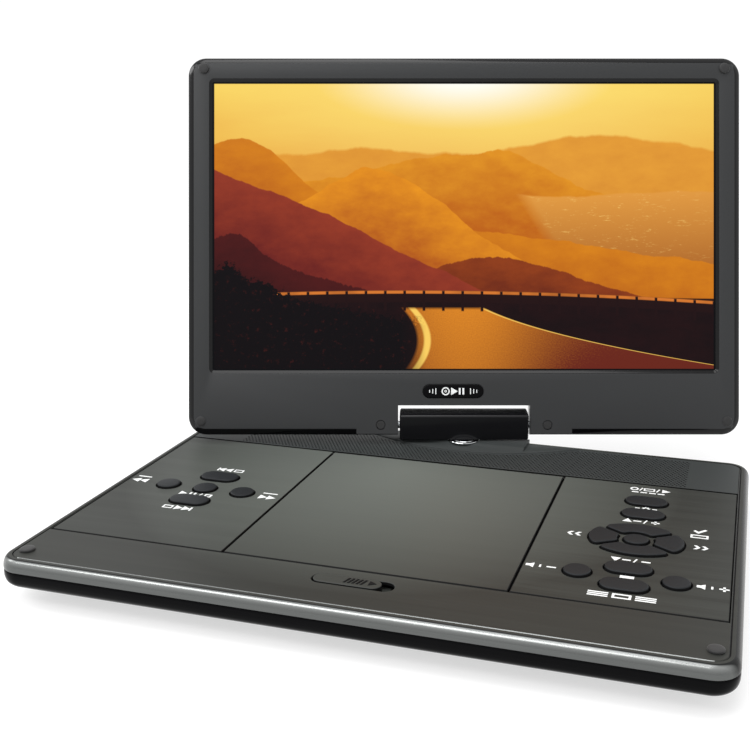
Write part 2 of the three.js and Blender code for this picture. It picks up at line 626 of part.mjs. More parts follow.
addPart(player, "drive_deck", makeDriveDeck(), INNER_BLACK);
addPart(player, "disc_hub", makeHub(), WHITE_PLASTIC);
addPart(player, "spindle_motor", makeMotor(), STEEL);
addPart(player, "pickup_sled", makeSled(), INNER_BLACK);
addPart(player, "pickup_lens", disc(0, DOOR_MIDDLE - 26, 3.4, [13.5, 14.4], 20), GLASS);
for (const [where, x] of [["left", -RAIL.x], ["right", RAIL.x]]) {
  addPart(player, `guide_rail_${where}`, rodY(x, RAIL_Y, RAIL.z, RAIL.radius, 12), STEEL);
}

// ---------------------------------------------------------------- base: electronics and sockets
function makeMainBoard() {
  const [bottom, top] = [6.2, 7.8];
  const board = box([-144, -78], [-70, 46], [bottom, top]);
  const chips = [
    { x: -112, y: 8, width: 22, depth: 22, height: 2 },
    { x: -98, y: -28, width: 12, depth: 16, height: 1.6 },
    { x: -128, y: -30, width: 10, depth: 10, height: 4 },
    { x: -132, y: 30, width: 8, depth: 12, height: 5 },
    { x: -90, y: 34, width: 14, depth: 5, height: 4.5 },
  ];
  const blocks = chips.map(({ x, y, width, depth, height }) =>
    box(around(x, width), around(y, depth), [top - 0.5, top + height])
  );
  return union(board, ...blocks);
}

function makeBattery() {
  const pack = { halfX: 33, halfY: 36, radius: 4, x: 112, y: -28 };
  return slab(pack, [[1, 4], [0, 5], [0, 12.4], [1, 13.4]], 3);
}

const SPEAKER = { x: 98, y: 91 };
function makeSpeaker(x) {
  const frame = { halfX: 26, halfY: 15, radius: 5, x, y: SPEAKER.y };
  const cone = { halfX: 21, halfY: 10.5, radius: 9, x, y: SPEAKER.y };
  const magnet = disc(x, SPEAKER.y, 9, [7.5, 12], 16);
  return cut(union(slab(frame, [[0, 11.5], [0, 17]], 2), magnet), slab(cone, [[6, 13.2], [0, 18]], 3));
}

addPart(player, "main_board", makeMainBoard(), BOARD_GREEN);
addPart(player, "battery_pack", makeBattery(), CELL_BLUE);
addPart(player, "speaker_left", makeSpeaker(-SPEAKER.x), INNER_BLACK);
addPart(player, "speaker_right", makeSpeaker(SPEAKER.x), INNER_BLACK);

// What each socket's mouth takes away from its block.
const MOUTHS = {
  dc_jack: (side, y) => {
    const barrel = rodX(sideRange(side, 9, 1), y, SOCKET_Z, 2.9, 16);
    return cut(barrel, rodX(sideRange(side, 10, -SOCKET_FACE - 0.6), y, SOCKET_Z, 1, 8));
  },
  av_jack: (side, y) => rodX(sideRange(side, 11, 1), y, SOCKET_Z, 1.8, 12),
  headphone_jack: (side, y) => rodX(sideRange(side, 11, 1), y, SOCKET_Z, 1.8, 12),
  usb_port: (side, y) => {
    const mouth = box(sideRange(side, 10, 1), around(y, 12.6), around(SOCKET_Z, 5));
    return cut(mouth, box(sideRange(side, 11, -1), around(y, 11), [SOCKET_Z + 0.4, SOCKET_Z + 2.2]));
  },
  card_slot: (side, y) => box(sideRange(side, 11, 1), around(y, 24.6), around(SOCKET_Z, 2.4)),
};
for (const { name, side, y, width, height } of SOCKETS) {
  const block = box(sideRange(side, SOCKET_DEPTH, -SOCKET_FACE), around(y, width), around(SOCKET_Z, height));
  addPart(player, name, cut(block, MOUTHS[name](side, y)), INNER_BLACK);
}

function makePowerSwitch() {
  const { y, z, slot, knob, height } = SWITCH;
  const knobY = y - slot / 2 + knob / 2 + LOOSE;
  const lever = box(sideRange(1, 6, -LOOSE), around(knobY, knob), around(z, height));
  const flange = box(sideRange(1, 6, -WALL - 3 * LOOSE), around(knobY, knob + 4), around(z, height + 1));
  return union(lever, flange);
}
addPart(player, "power_switch", makePowerSwitch(), KEY_BLACK);

// ---------------------------------------------------------------- swivel
const swivel = new THREE.Group();
swivel.position.set(0, SWIVEL_Y, 0);
swivel.rotation.z = THREE.MathUtils.degToRad(SWIVEL_SHOWN);
player.add(swivel);

const HOUSING_WALL = 1.8;
const HOUSING_Y = TILT_SETBACK;
const NECK_X = [-7, 7];
const NECK_Y = [HOUSING_Y - 4.5, HOUSING_Y + 3];

function makeSwivelPost() {
  const top = DECK_TOP + PLATFORM_RISE;
  const plateLow = HOUSING_BOTTOM + HOUSING_WALL + LOOSE;
  const plate = box([-28, 28], around(HOUSING_Y, 9), [plateLow, plateLow + 1.4]);
  const neck = box(NECK_X, NECK_Y, [top, plateLow + 1]);
  const ears = [-26, 26].map((x) => box(around(x, 2.4), around(HOUSING_Y, 9), [plateLow, TILT_HEIGHT + 4.6]));
  const bore = rodX([-30, 30], HOUSING_Y, TILT_HEIGHT, SHAFT_RADIUS + LOOSE, 16);
  return union(
    disc(0, 0, SWIVEL_DISC, [top - SWIVEL_RECESS + LOOSE, top + 0.5], 40),
    disc(0, 0, SWIVEL_STEM, [14, top], 24),
    disc(0, 0, 9, [14, 16], 24),
    neck,
    cut(union(plate, ...ears), bore)
  );
}

function makeHousing() {
  const outer = { halfX: HOUSING_WIDTH / 2, halfY: HOUSING_DEPTH / 2, radius: 1.2, x: 0, y: HOUSING_Y };
  const bevel = 1.1;
  const profile = [[0.4, HOUSING_BOTTOM], [0, HOUSING_BOTTOM + 0.4]];
  profile.push([0, HOUSING_TOP - bevel], [0.35, HOUSING_TOP - 0.35], [bevel, HOUSING_TOP]);
  const innerX = HOUSING_WIDTH / 2 - HOUSING_WALL;
  const innerY = HOUSING_DEPTH / 2 - HOUSING_WALL;
  const innerZ = [HOUSING_BOTTOM + HOUSING_WALL, HOUSING_TOP - HOUSING_WALL];
  const neckX = grow(NECK_X, LOOSE);
  const neckY = grow(NECK_Y, LOOSE);
  return cut(
    slab(outer, profile, 3),
    box([-innerX, innerX], around(HOUSING_Y, 2 * innerY), innerZ),
    box(neckX, neckY, [HOUSING_BOTTOM - 1, HOUSING_BOTTOM + 3]),
    rodX([-HOUSING_WIDTH, HOUSING_WIDTH], HOUSING_Y, TILT_HEIGHT, SHAFT_RADIUS + LOOSE, 16)
  );
}

addPart(swivel, "swivel_post", makeSwivelPost(), CHROME);
addPart(swivel, "hinge_housing", makeHousing(), GLOSS_BLACK);

// ---------------------------------------------------------------- lid
// In the lid's own frame +Y runs up the screen from the tilt axis and +Z faces the viewer.
const lid = new THREE.Group();
lid.position.set(0, TILT_SETBACK, TILT_HEIGHT);
lid.rotation.x = THREE.MathUtils.degToRad(90 - TILT_SHOWN);
swivel.add(lid);

const LID_MIDDLE = LID_HEIGHT / 2 - LID_BELOW_AXIS;
const LID = { halfX: BODY_WIDTH / 2, halfY: LID_HEIGHT / 2, radius: LID_CORNER, x: 0, y: LID_MIDDLE };
const CHIN_HALF_WIDTH = 66;
const CHIN_BOTTOM = -LID_BELOW_AXIS + 0.4;
const FACE = 1.3;
const BADGE = { x: -6.7, y: 20.7, width: 37, depth: 8.2 };
const PLUG = { x: 51, y: 0.1, radius: 2.6 };
const SHAFT_HALF_LENGTH = 57;

const shaftBore = () => rodX([-SHAFT_HALF_LENGTH - 1, SHAFT_HALF_LENGTH + 1], 0, 0, SHAFT_RADIUS + LOOSE, 16);
const notch = () =>
  box([-NOTCH_HALF_WIDTH, NOTCH_HALF_WIDTH], [-LID_BELOW_AXIS - 1, NOTCH_TOP], [LID_BACK - 1, LID_FRONT + 1]);

// Solid walls round the notch and round the shaft's ends, between two depths of the lid.
function chinBlocks(depths) {
  const blocks = [box([-NOTCH_HALF_WIDTH - 2, NOTCH_HALF_WIDTH + 2], [CHIN_BOTTOM, NOTCH_TOP + 2], depths)];
  for (const side of [-1, 1]) {
    const ends = [side * (NOTCH_HALF_WIDTH - 1), side * (SHAFT_HALF_LENGTH + 2)].sort((a, b) => a - b);
    blocks.push(box(ends, [-4.4, 5], depths));
  }
  return blocks;
}

function makeBezel() {
  const back = LID_SPLIT + LOOSE / 2;
  const outside = [[0, back], [0, 3], [0.5, 4.4], [3, 6.15], [4.4, LID_FRONT]];
  const inside = [[2.2, back - 1], [2.2, 3], [5.6, LID_FRONT - FACE]];
  const screen = {
    halfX: SCREEN_WIDTH / 2,
    halfY: SCREEN_HEIGHT / 2,
    radius: 1.4,
    x: 0,
    y: SCREEN_BOTTOM + SCREEN_HEIGHT / 2,
  };
  const chin = box([-CHIN_HALF_WIDTH, CHIN_HALF_WIDTH], [CHIN_BOTTOM, 3], [3, LID_FRONT]);
  const recessTop = LID_FRONT + 1;
  const badgeRecess = [[0, LID_FRONT - 0.7], [0, recessTop]];
  return cut(
    union(cut(slab(LID, outside, 5), slab(LID, inside, 5)), chin, ...chinBlocks([back, LID_FRONT - 1])),
    slab(screen, [[0, 3], [0, LID_FRONT - FACE], [-1.7, LID_FRONT], [-1.7, recessTop]], 3),
    notch(),
    shaftBore(),
    pill(BADGE.x, BADGE.y, BADGE.width + 2 * LOOSE, BADGE.depth + 2 * LOOSE, badgeRecess, 5),
    disc(-PLUG.x, PLUG.y, PLUG.radius + LOOSE, [LID_FRONT - 1, recessTop], 20),
    disc(PLUG.x, PLUG.y, PLUG.radius + LOOSE, [LID_FRONT - 1, recessTop], 20)
  );
}

function makeBackCover() {
  const front = LID_SPLIT - LOOSE / 2;
  const raise = ([inset, rise]) => [inset, LID_BACK + rise];
  const outside = [...[[7, 0], [2.6, 0.9], [0.6, 2.8], [0, 5]].map(raise), [0, front]];
  const inside = [...[[9, 2], [4.6, 2.9], [2.2, 5]].map(raise), [2.2, front + 1]];
  return cut(
    union(cut(slab(LID, outside, 5), slab(LID, inside, 5)), ...chinBlocks([LID_BACK + 1.5, front])),
    notch(),
    shaftBore()
  );
}

function makeScreen() {
  const frame = { halfX: SCREEN_WIDTH / 2 + 3, halfY: SCREEN_HEIGHT / 2 + 2, radius: 1, x: 0 };
  frame.y = SCREEN_BOTTOM + SCREEN_HEIGHT / 2;
  const front = LID_FRONT - FACE - LOOSE;
  return slab(frame, [[0, front - SCREEN_THICKNESS], [0, front]], 2);
}

addPart(lid, "lid_bezel", makeBezel(), SATIN_GREY);
addPart(lid, "lid_back_cover", makeBackCover(), GLOSS_BLACK);
addPart(lid, "lcd_panel", makeScreen(), GLASS);
addPart(lid, "tilt_shaft", rodX([-SHAFT_HALF_LENGTH, SHAFT_HALF_LENGTH], 0, 0, SHAFT_RADIUS, 16), STEEL);
const badgeProfile = [[0, LID_FRONT - 0.4], [0, LID_FRONT + 0.1], [0.4, LID_FRONT + 0.3]];
addPart(lid, "badge_plate", pill(BADGE.x, BADGE.y, BADGE.width, BADGE.depth, badgeProfile, 5), GLOSS_BLACK);

const LID_BUMPER = { radius: 3.2, x: 159, y: 218, rise: 1.6 };
for (const [where, side] of [["left", -1], ["right", 1]]) {
  const plug = disc(side * PLUG.x, PLUG.y, PLUG.radius, [LID_FRONT - 0.7, LID_FRONT - 0.1], 20);
  addPart(lid, `hinge_plug_${where}`, plug, RUBBER);
  const { radius, x, y, rise } = LID_BUMPER;
  const bumper = disc(side * x, y, radius, [LID_FRONT + LOOSE, LID_FRONT + rise], 20);
  addPart(lid, `lid_bumper_${where}`, bumper, RUBBER);
}

export default player;
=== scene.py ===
"""Looks for a portable disc player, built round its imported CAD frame.

Shapes are drawn in millimetres and turned into metres when they become pieces.
The row frame has +X to the right, +Y to the rear and +Z up.
"""

import math

import bmesh
import bpy
from mathutils import Matrix, Vector
from mathutils.geometry import delaunay_2d_cdt


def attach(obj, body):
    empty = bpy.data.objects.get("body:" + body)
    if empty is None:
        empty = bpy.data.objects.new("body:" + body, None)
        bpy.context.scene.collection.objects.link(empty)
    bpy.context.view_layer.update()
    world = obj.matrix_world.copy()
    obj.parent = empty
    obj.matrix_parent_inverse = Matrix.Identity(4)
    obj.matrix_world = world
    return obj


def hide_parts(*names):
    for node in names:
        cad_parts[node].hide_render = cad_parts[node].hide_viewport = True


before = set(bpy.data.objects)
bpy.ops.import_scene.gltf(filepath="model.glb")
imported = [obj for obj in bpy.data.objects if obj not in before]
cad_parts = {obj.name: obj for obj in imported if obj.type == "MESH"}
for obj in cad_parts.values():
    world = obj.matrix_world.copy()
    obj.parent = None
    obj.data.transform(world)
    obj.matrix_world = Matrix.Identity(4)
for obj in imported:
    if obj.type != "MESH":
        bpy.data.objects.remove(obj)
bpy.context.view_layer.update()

# ---------------------------------------------------------------- dimensions, in millimetres
BODY_HALF = (169.0, 120.0)
CORNER = 12.0
RIM_WIDTH = 5.5
RIM_BOTTOM = 18.0
DECK_TOP = 22.0
DECK_SEAT = 20.1
WALL = 2.2
SEAM = 0.4
LOOSE = 0.3
SLIT = 0.18
BELLY = [(24, 0), (20, 0.9), (12, 3.7), (5, 6.8), (2.2, 8.4), (0.6, 10.3), (0, 12.6)]
RIM_LOW = 16.0
SHELL_TOP = 15.7

PANEL_Y = (-81.6, 67.2)
PANEL_X = (69.7, 163.3)
PLATE_LOW = 20.4
GRILLE_Y = (67.6, 114.3)
GRILLE_CORNER = 6.3
DOOR_HALF = 68.95
DOOR_Y = (-80.6, 65.9)
DOOR_UNDER = 19.8
DOOR_PIN_Z = 20.9
WELL_Y = -7.2

KEYS_Y = -9.8
KEY_TOP = 23.3
KEY_LOW = 19.0
KEY_GAP = 0.35
LEFT_X = -115.3
RIGHT_X = 117.4
PITCH_X = 22.25
PITCH_Y = 17.8
PAD_STEP = 33.2
ROUND = (12.6, 12.6)
LONG = (21.8, 12.0)

SWIVEL_Y = 108.0
APRON_FRONT = 90.8
APRON_RADIUS = 114.5
SLIDER_Y = -92.7

LID_FRONT = 6.5
LID_BACK = -8.0
LID_SPLIT = 1.2
LID_BELOW = 6.0
LID_HEIGHT = 231.0
LID_CORNER = 11.0
LID_MIDDLE = LID_HEIGHT / 2 - LID_BELOW
SCREEN = (308.0, 176.6)
SCREEN_LOW = 33.4
SCREEN_MIDDLE = SCREEN_LOW + SCREEN[1] / 2
NOTCH = (40.4, 12.0)
CHIN = 66.0
BADGE = (-6.7, 20.7, 37.0, 8.2)
SHAFT_Y = 3.5
SHAFT_Z = 32
SHAFT_BORE = 2.5
SIDES = (("left", -1), ("right", 1))

TO_METRES = Matrix.Scale(0.001, 4)
SWIVEL = Matrix.Translation((0, SWIVEL_Y, 0)) @ Matrix.Rotation(math.radians(17.2), 4, "Z")
LID = SWIVEL @ Matrix.Translation((0, SHAFT_Y, SHAFT_Z)) @ Matrix.Rotation(math.radians(74.5), 4, "X")


# ---------------------------------------------------------------- outlines and meshes
def outline(half_x, half_y, radius, x=0.0, y=0.0, steps=14):
    """A rounded rectangle, counter-clockwise, with the same count of points at any size."""
    points = []
    for corner, (sx, sy) in enumerate(((1, 1), (-1, 1), (-1, -1), (1, -1))):
        for step in range(steps + 1):
            angle = (corner + step / steps) * math.pi / 2
            px = x + sx * (half_x - radius) + radius * math.cos(angle)
            py = y + sy * (half_y - radius) + radius * math.sin(angle)
            points.append((px, py))
    return points


def circle(radius, x=0.0, y=0.0, count=32, turn=0.0):
    angles = [turn + 2 * math.pi * i / count for i in range(count)]
    return [(x + radius * math.cos(a), y + radius * math.sin(a)) for a in angles]


def lift(loop, z):
    """A flat loop at a height."""
    return [(x, y, z) for x, y in loop]


def ring_x(x, radius, y, z, count=32):
    """A circle that faces along X."""
    return [(x, y + py, z + pz) for py, pz in circle(radius, 0, 0, count)]


def offset(loop, by):
    """Moves a counter-clockwise loop's edges outwards by a distance, with sharp corners."""
    moved = []
    for i, here in enumerate(loop):
        before, after = Vector(loop[i - 1]), Vector(loop[(i + 1) % len(loop)])
        a = (Vector(here) - before).normalized()
        b = (after - Vector(here)).normalized()
        normal = Vector((a.y + b.y, -a.x - b.x))
        if normal.length < 1e-6:
            normal = Vector((a.y, -a.x))
        normal.normalize()
        share = max(0.35, normal.dot(Vector((a.y, -a.x))))
        moved.append(tuple(Vector(here) + normal * by / share))
    return moved


def rounded(loop, by, steps=6, sharp=0.45):
    """Moves a loop outwards and turns its sharp corners on arcs.

    The count of points doesn't depend on the distance.
    """
    moved = []
    for i, here in enumerate(loop):
        a = Vector(here) - Vector(loop[i - 1])
        b = Vector(loop[(i + 1) % len(loop)]) - Vector(here)
        first = math.atan2(-a.x, a.y)
        turn = (math.atan2(-b.x, b.y) - first + math.pi) % (2 * math.pi) - math.pi
        count = steps if turn > sharp else 0
        for step in range(count + 1):
            angle = first + (turn * step / count if count else turn / 2)
            moved.append((here[0] + by * math.cos(angle), here[1] + by * math.sin(angle)))
    return moved


def blend(p, q, r, s, t):
    """A smooth line's value between q and r, whose neighbours are p and s."""
    first = (r - p) * t
    second = (2 * p - 5 * q + 4 * r - s) * t * t
    third = (3 * q - p - 3 * r + s) * t**3
    return 0.5 * (2 * q + first + second + third)


def curve(points, parts):
    """Points on a smooth line through a list of points."""
    line = []
    for i in range(len(points) - 1):
        a, b = points[max(i - 1, 0)], points[i]
        c, d = points[i + 1], points[min(i + 2, len(points) - 1)]
        for part in range(parts):
            t = part / parts
            line.append(tuple(blend(*near, t) for near in zip(a, b, c, d)))
    return [*line, tuple(points[-1])]


def quarter(x, z, width, height, steps=8):
    """A quarter of an ellipse from (x, z) up and inwards, as (inset, z) pairs."""
    angles = [math.pi / 2 * i / steps for i in range(steps + 1)]
    return [(x + width * (1 - math.cos(a)), z + height * math.sin(a)) for a in angles]


def inside(x, y, loop):
    """True if a point is inside a loop."""
    found = False
    for i, (bx, by) in enumerate(loop):
        ax, ay = loop[i - 1]
        if (ay > y) != (by > y) and x < (bx - ax) * (y - ay) / (by - ay) + ax:
            found = not found
    return found


def in_hole(triangle, owner, loops, points):
    """True if a triangle lies in a hole; such a triangle has all its corners on that hole's loop."""
    a, b, c = triangle
    number = owner[a]
    if number == 0 or owner[b] != number or owner[c] != number:
        return False
    middle = (points[a] + points[b] + points[c]) / 3
    return inside(middle.x, middle.y, loops[number])


LEAST_CORNER = 0.05


class Form:
    """A mesh being drawn, in millimetres."""

    def __init__(self):
        self.points = []
        self.faces = []

    def add(self, points, faces):
        base = len(self.points)
        self.points += [tuple(p) for p in points]
        self.faces += [tuple(base + i for i in face) for face in faces]
        return self

    def skin(self, rings, closed=False):
        """A surface over a stack of outlines, capped at both ends or joined end to end."""
        count = len(rings[0])
        faces = []
        for ring in range(len(rings) - (0 if closed else 1)):
            a, b = ring * count, (ring + 1) % len(rings) * count
            for i in range(count):
                j = (i + 1) % count
                faces.append((a + i, a + j, b + j, b + i))
        if not closed:
            faces.append(tuple(range(count - 1, -1, -1)))
            faces.append(tuple(range((len(rings) - 1) * count, len(rings) * count)))
        return self.add([p for ring in rings for p in ring], faces)

    def slab(self, half_x, half_y, radius, profile, x=0.0, y=0.0, steps=14):
        """A rounded slab whose edge follows (inset, z) pairs."""
        rings = []
        for inset, z in profile:
            corner = max(radius - inset, LEAST_CORNER)
            rings.append(lift(outline(half_x - inset, half_y - inset, corner, x, y, steps), z))
        return self.skin(rings)

    def pill(self, x, y, width, depth, profile, steps=12):
        radius = min(width, depth) / 2 - 0.01
        return self.slab(width / 2, depth / 2, radius, profile, x, y, steps)

    def lathe(self, profile, x=0.0, y=0.0, count=64):
        """A round piece from (radius, z) pairs, bottom to top."""
        return self.skin([lift(circle(radius, x, y, count), z) for radius, z in profile])

    def box(self, xs, ys, zs, edge=0.0):
        mid_x, mid_y = sum(xs) / 2, sum(ys) / 2
        half_x, half_y = (xs[1] - xs[0]) / 2, (ys[1] - ys[0]) / 2
        if not edge:
            ring = [(xs[0], ys[0]), (xs[1], ys[0]), (xs[1], ys[1]), (xs[0], ys[1])]
            return self.skin([lift(ring, z) for z in zs])
        profile = [(edge, zs[0]), (0, zs[0] + edge), (0, zs[1] - edge), (edge, zs[1])]
        return self.slab(half_x, half_y, edge, profile, mid_x, mid_y, 2)

    def along_x(self, section, xs):
        """A (y, z) outline drawn along X."""
        return self.skin([[(x, y, z) for y, z in section] for x in xs])

    def plate(self, outer, holes, low, high, bevel=0.0):
        """A flat plate with holes, and with its top edges bevelled."""
        loops = [outer, *holes]
        sides = [-1] + [1] * len(holes)
        tops = [offset(loop, side * bevel) if bevel else loop for loop, side in zip(loops, sides)]
        levels = [(tops, high)] + ([(loops, high - bevel)] if bevel else []) + [(loops, low)]
        flat = [Vector(p) for loop in tops for p in loop]
        starts = []
        edges = []
        for loop in loops:
            start = starts[-1][1] if starts else 0
            starts.append((start, start + len(loop)))
            edges += [(start + i, start + (i + 1) % len(loop)) for i in range(len(loop))]
        _, _, triangles, originals, _, _ = delaunay_2d_cdt(flat, edges, [], 1, 1e-7)
        triangles = [tuple(originals[i][0] for i in t) for t in triangles]
        owner = [number for number, loop in enumerate(loops) for _ in loop]
        triangles = [t for t in triangles if not in_hole(t, owner, tops, flat)]
        total = len(flat)
        points = [(p[0], p[1], z) for ring, z in levels for loop in ring for p in loop]
        last = (len(levels) - 1) * total
        faces = [*triangles, *[tuple(last + i for i in reversed(t)) for t in triangles]]
        for level in range(len(levels) - 1):
            a, b = level * total, (level + 1) * total
            for (start, end), side in zip(starts, sides):
                for i in range(start, end):
                    j = start + (i + 1 - start) % (end - start)
                    quad = (b + i, b + j, a + j, a + i)
                    faces.append(quad if side < 0 else tuple(reversed(quad)))
        return self.add(points, faces)


def as_object(name, form):
    mesh = bpy.data.meshes.new(name)
    mesh.from_pydata(form.points, [], form.faces)
    work = bmesh.new()
    work.from_mesh(mesh)
    bmesh.ops.remove_doubles(work, verts=work.verts, dist=1e-5)
    bmesh.ops.recalc_face_normals(work, faces=work.faces)
    work.to_mesh(mesh)
    work.free()
    made = bpy.data.objects.new(name, mesh)
    bpy.context.scene.collection.objects.link(made)
    return made


def apply_modifiers(made):
    graph = bpy.context.evaluated_depsgraph_get()
    finished = bpy.data.meshes.new_from_object(made.evaluated_get(graph))
    made.modifiers.clear()
    made.data = finished


def combine(made, forms, operation="DIFFERENCE"):
    """Cuts each form or object from the object, or adds it."""
    tools = [as_object("tool", form) if isinstance(form, Form) else form for form in forms]
    for tool in tools:
        step = made.modifiers.new("step", "BOOLEAN")
        step.operation = operation
        step.solver = "EXACT"
        step.object = tool
    apply_modifiers(made)
    for tool in tools:
        bpy.data.objects.remove(tool)
    return made


def piece(name, shape, look, body, slot, stands_for=(), place=None, sharp=32, trims=()):
    """Turns a form or object in millimetres into a finished piece that rides on a CAD body.

    Each trim is a second look and a test of a face's middle and normal that says where it goes.
    """
    made = as_object(name, shape) if isinstance(shape, Form) else shape
    made.name = name
    made.data.name = name
    made.data.materials.clear()
    made.data.materials.append(look)
    for polygon in made.data.polygons:
        tests = [test(polygon.center, polygon.normal) for _, test in trims]
        polygon.material_index = tests.index(True) + 1 if True in tests else 0
    for trim, _ in trims:
        made.data.materials.append(trim)
    made.data.transform(TO_METRES @ (place or Matrix.Identity(4)))
    made.data.polygons.foreach_set("use_smooth", [True] * len(made.data.polygons))
    made.data.set_sharp_from_angle(angle=math.radians(sharp))
    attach(made, body)
    if stands_for:
        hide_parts(*stands_for)
    return made


# ---------------------------------------------------------------- materials
def linear(red, green, blue):
    """A display colour from 0 to 255 as linear light."""
    parts = []
    for value in (red, green, blue):
        share = value / 255
        parts.append(share / 12.92 if share <= 0.04045 else ((share + 0.055) / 1.055) ** 2.4)
    return (*parts, 1.0)


class Value:
    """A number that flows through a node tree, with arithmetic."""

    def __init__(self, look, socket):
        self.look = look
        self.socket = socket

    def math(self, operation, *others, clamp=False):
        return self.look.math(operation, self, *others, clamp=clamp)

    def __add__(self, other):
        return self.math("ADD", other)

    def __sub__(self, other):
        return self.math("SUBTRACT", other)

    def __rsub__(self, other):
        return self.look.math("SUBTRACT", other, self)

    def __mul__(self, other):
        return self.math("MULTIPLY", other)

    def __truediv__(self, other):
        return self.math("DIVIDE", other)

    __radd__ = __add__
    __rmul__ = __mul__

    def clamped(self):
        return self.math("ADD", 0.0, clamp=True)

    def above(self, edge, soft):
        """0 below an edge and 1 above it, over a soft width."""
        share = self.look.math("DIVIDE", self - edge, soft)
        return self.look.math("ADD", share, 0.5, clamp=True)

    def below(self, edge, soft):
        """1 below an edge and 0 above it, over a soft width."""
        return 1.0 - self.above(edge, soft)


class Look:
    """A procedural material being built."""

    def __init__(self, name, **sockets):
        self.material = bpy.data.materials.new(name)
        self.material.use_nodes = True
        self.tree = self.material.node_tree
        self.shader = self.tree.nodes["Principled BSDF"]
        for key, value in sockets.items():
            self.put(self.shader.inputs[key.replace("_", " ")], value)
        self.places = self.node("ShaderNodeTexCoord").outputs["Object"]

    def node(self, kind, inputs=(), **settings):
        made = self.tree.nodes.new(kind)
        for key, value in settings.items():
            setattr(made, key, value)
        for key, value in dict(inputs).items():
            self.put(made.inputs[key], value)
        return made

    def put(self, socket, value):
        if isinstance(value, Value):
            value = value.socket
        if isinstance(value, bpy.types.NodeSocket):
            self.tree.links.new(value, socket)
        else:
            socket.default_value = value

    def math(self, operation, *values, clamp=False):
        made = self.node("ShaderNodeMath", dict(enumerate(values)), operation=operation, use_clamp=clamp)
        return Value(self, made.outputs[0])

    def stretch(self, scale, places=None, turn=(0.0, 0.0, 0.0)):
        inputs = {"Vector": places or self.places, "Scale": scale, "Rotation": turn}
        return self.node("ShaderNodeMapping", inputs).outputs[0]

    def noise(self, scale, detail=3.0, roughness=0.55, places=None, distortion=0.0):
        """Noise in the range 0 to 1. Its scale is in cycles a metre."""
        inputs = {
            "Vector": places or self.places,
            "Scale": scale,
            "Detail": detail,
            "Roughness": roughness,
            "Distortion": distortion,
        }
        return Value(self, self.node("ShaderNodeTexNoise", inputs).outputs[0])

    def cells(self, scale):
        """The distance from the nearest of many scattered spots."""
        inputs = {"Vector": self.places, "Scale": scale}
        return Value(self, self.node("ShaderNodeTexVoronoi", inputs).outputs["Distance"])

    def axes(self, vector):
        """A vector's three numbers."""
        split = self.node("ShaderNodeSeparateXYZ", {"Vector": vector})
        return [Value(self, part) for part in split.outputs]

    def mix(self, share, first, second):
        made = self.node("ShaderNodeMix", data_type="RGBA")
        self.put(made.inputs["Factor"], share)
        for key, value in (("A", first), ("B", second)):
            colour = next(s for s in made.inputs if s.name == key and s.type == "RGBA")
            self.put(colour, value)
        return next(s for s in made.outputs if s.type == "RGBA")

    def base(self, share, first, second):
        self.put(self.shader.inputs["Base Color"], self.mix(share, first, second))
        return self

    def rough(self, value):
        self.put(self.shader.inputs["Roughness"], value)
        return self

    def relief(self, height, distance, strength=1.0):
        """A bump of a height from 0 to 1 times a distance in metres."""
        made = self.node("ShaderNodeBump", {"Height": height, "Distance": distance, "Strength": strength})
        self.put(self.shader.inputs["Normal"], made.outputs[0])
        return self


def moulded(name, dark, light, roughness, grain=2600.0, relief=0.00002, spread=0.06, **sockets):
    """Moulded plastic: a fine spark-eroded grain over slow changes of tone and gloss."""
    look = Look(name, **sockets)
    slow = look.noise(14.0, 2.0)
    fine = look.noise(grain, 4.0, 0.6)
    look.base(slow * 0.6 + fine * 0.4, linear(*dark), linear(*light))
    look.rough((slow + fine) * spread + (roughness - spread))
    look.relief(fine, relief)
    return look.material


# Where the painted soft highlight on the deck, panels and door is centred, how far it reaches and how pale it
# gets.
PAINTED_SHEEN_SPOT = (-0.02, 0.05, 0.022)
PAINTED_SHEEN_REACH = 0.155
PAINTED_SHEEN_TONE = (104, 109, 104)


def brushed(name, dark, light, roughness, length=9.0, width=1500.0, relief=0.000012, **sockets):
    """A lacquered sheet with long fine streaks along X, with a painted soft highlight that makes it palest
    near the hinge.
    """
    look = Look(name, **sockets)
    streaks = look.noise(1.0, 5.0, 0.7, look.stretch((length, width, width)))
    bands = look.noise(1.0, 3.0, 0.6, look.stretch((length / 2, width / 9, width / 9)))
    mixed = streaks * 0.6 + bands * 0.4
    share = look.node("ShaderNodeMapRange", {"Value": mixed, "From Min": 0.3, "From Max": 0.7}).outputs[0]
    # Painted highlight: the colour pales towards a spot near the hinge, in place of a soft pool of light.
    spot = {0: look.places, 1: PAINTED_SHEEN_SPOT}
    away = Value(look, look.node("ShaderNodeVectorMath", spot, operation="DISTANCE").outputs["Value"])
    near = (1.0 - away / PAINTED_SHEEN_REACH).math("MAXIMUM", 0.0)
    tone = look.mix(share, linear(*dark), linear(*light))
    look.base(near.math("POWER", 0.8) * 0.8, tone, linear(*PAINTED_SHEEN_TONE))
    look.rough(streaks * 0.16 + (roughness - 0.08))
    look.relief(streaks, relief)
    return look.material


def glossy(name, dark, light, roughness, **sockets):
    """Polished black plastic: barely varied tone, with faint rub marks in the gloss."""
    look = Look(name, **sockets)
    slow = look.noise(20.0, 3.0)
    marks = look.noise(1.0, 4.0, 0.65, look.stretch((60.0, 900.0, 300.0), turn=(0.2, 0.1, 0.5)))
    look.base(slow, linear(*dark), linear(*light))
    look.rough(marks * 0.05 + slow * 0.03 + (roughness - 0.04))
    look.relief(look.noise(160.0, 1.0), 0.00001, 0.5)
    return look.material


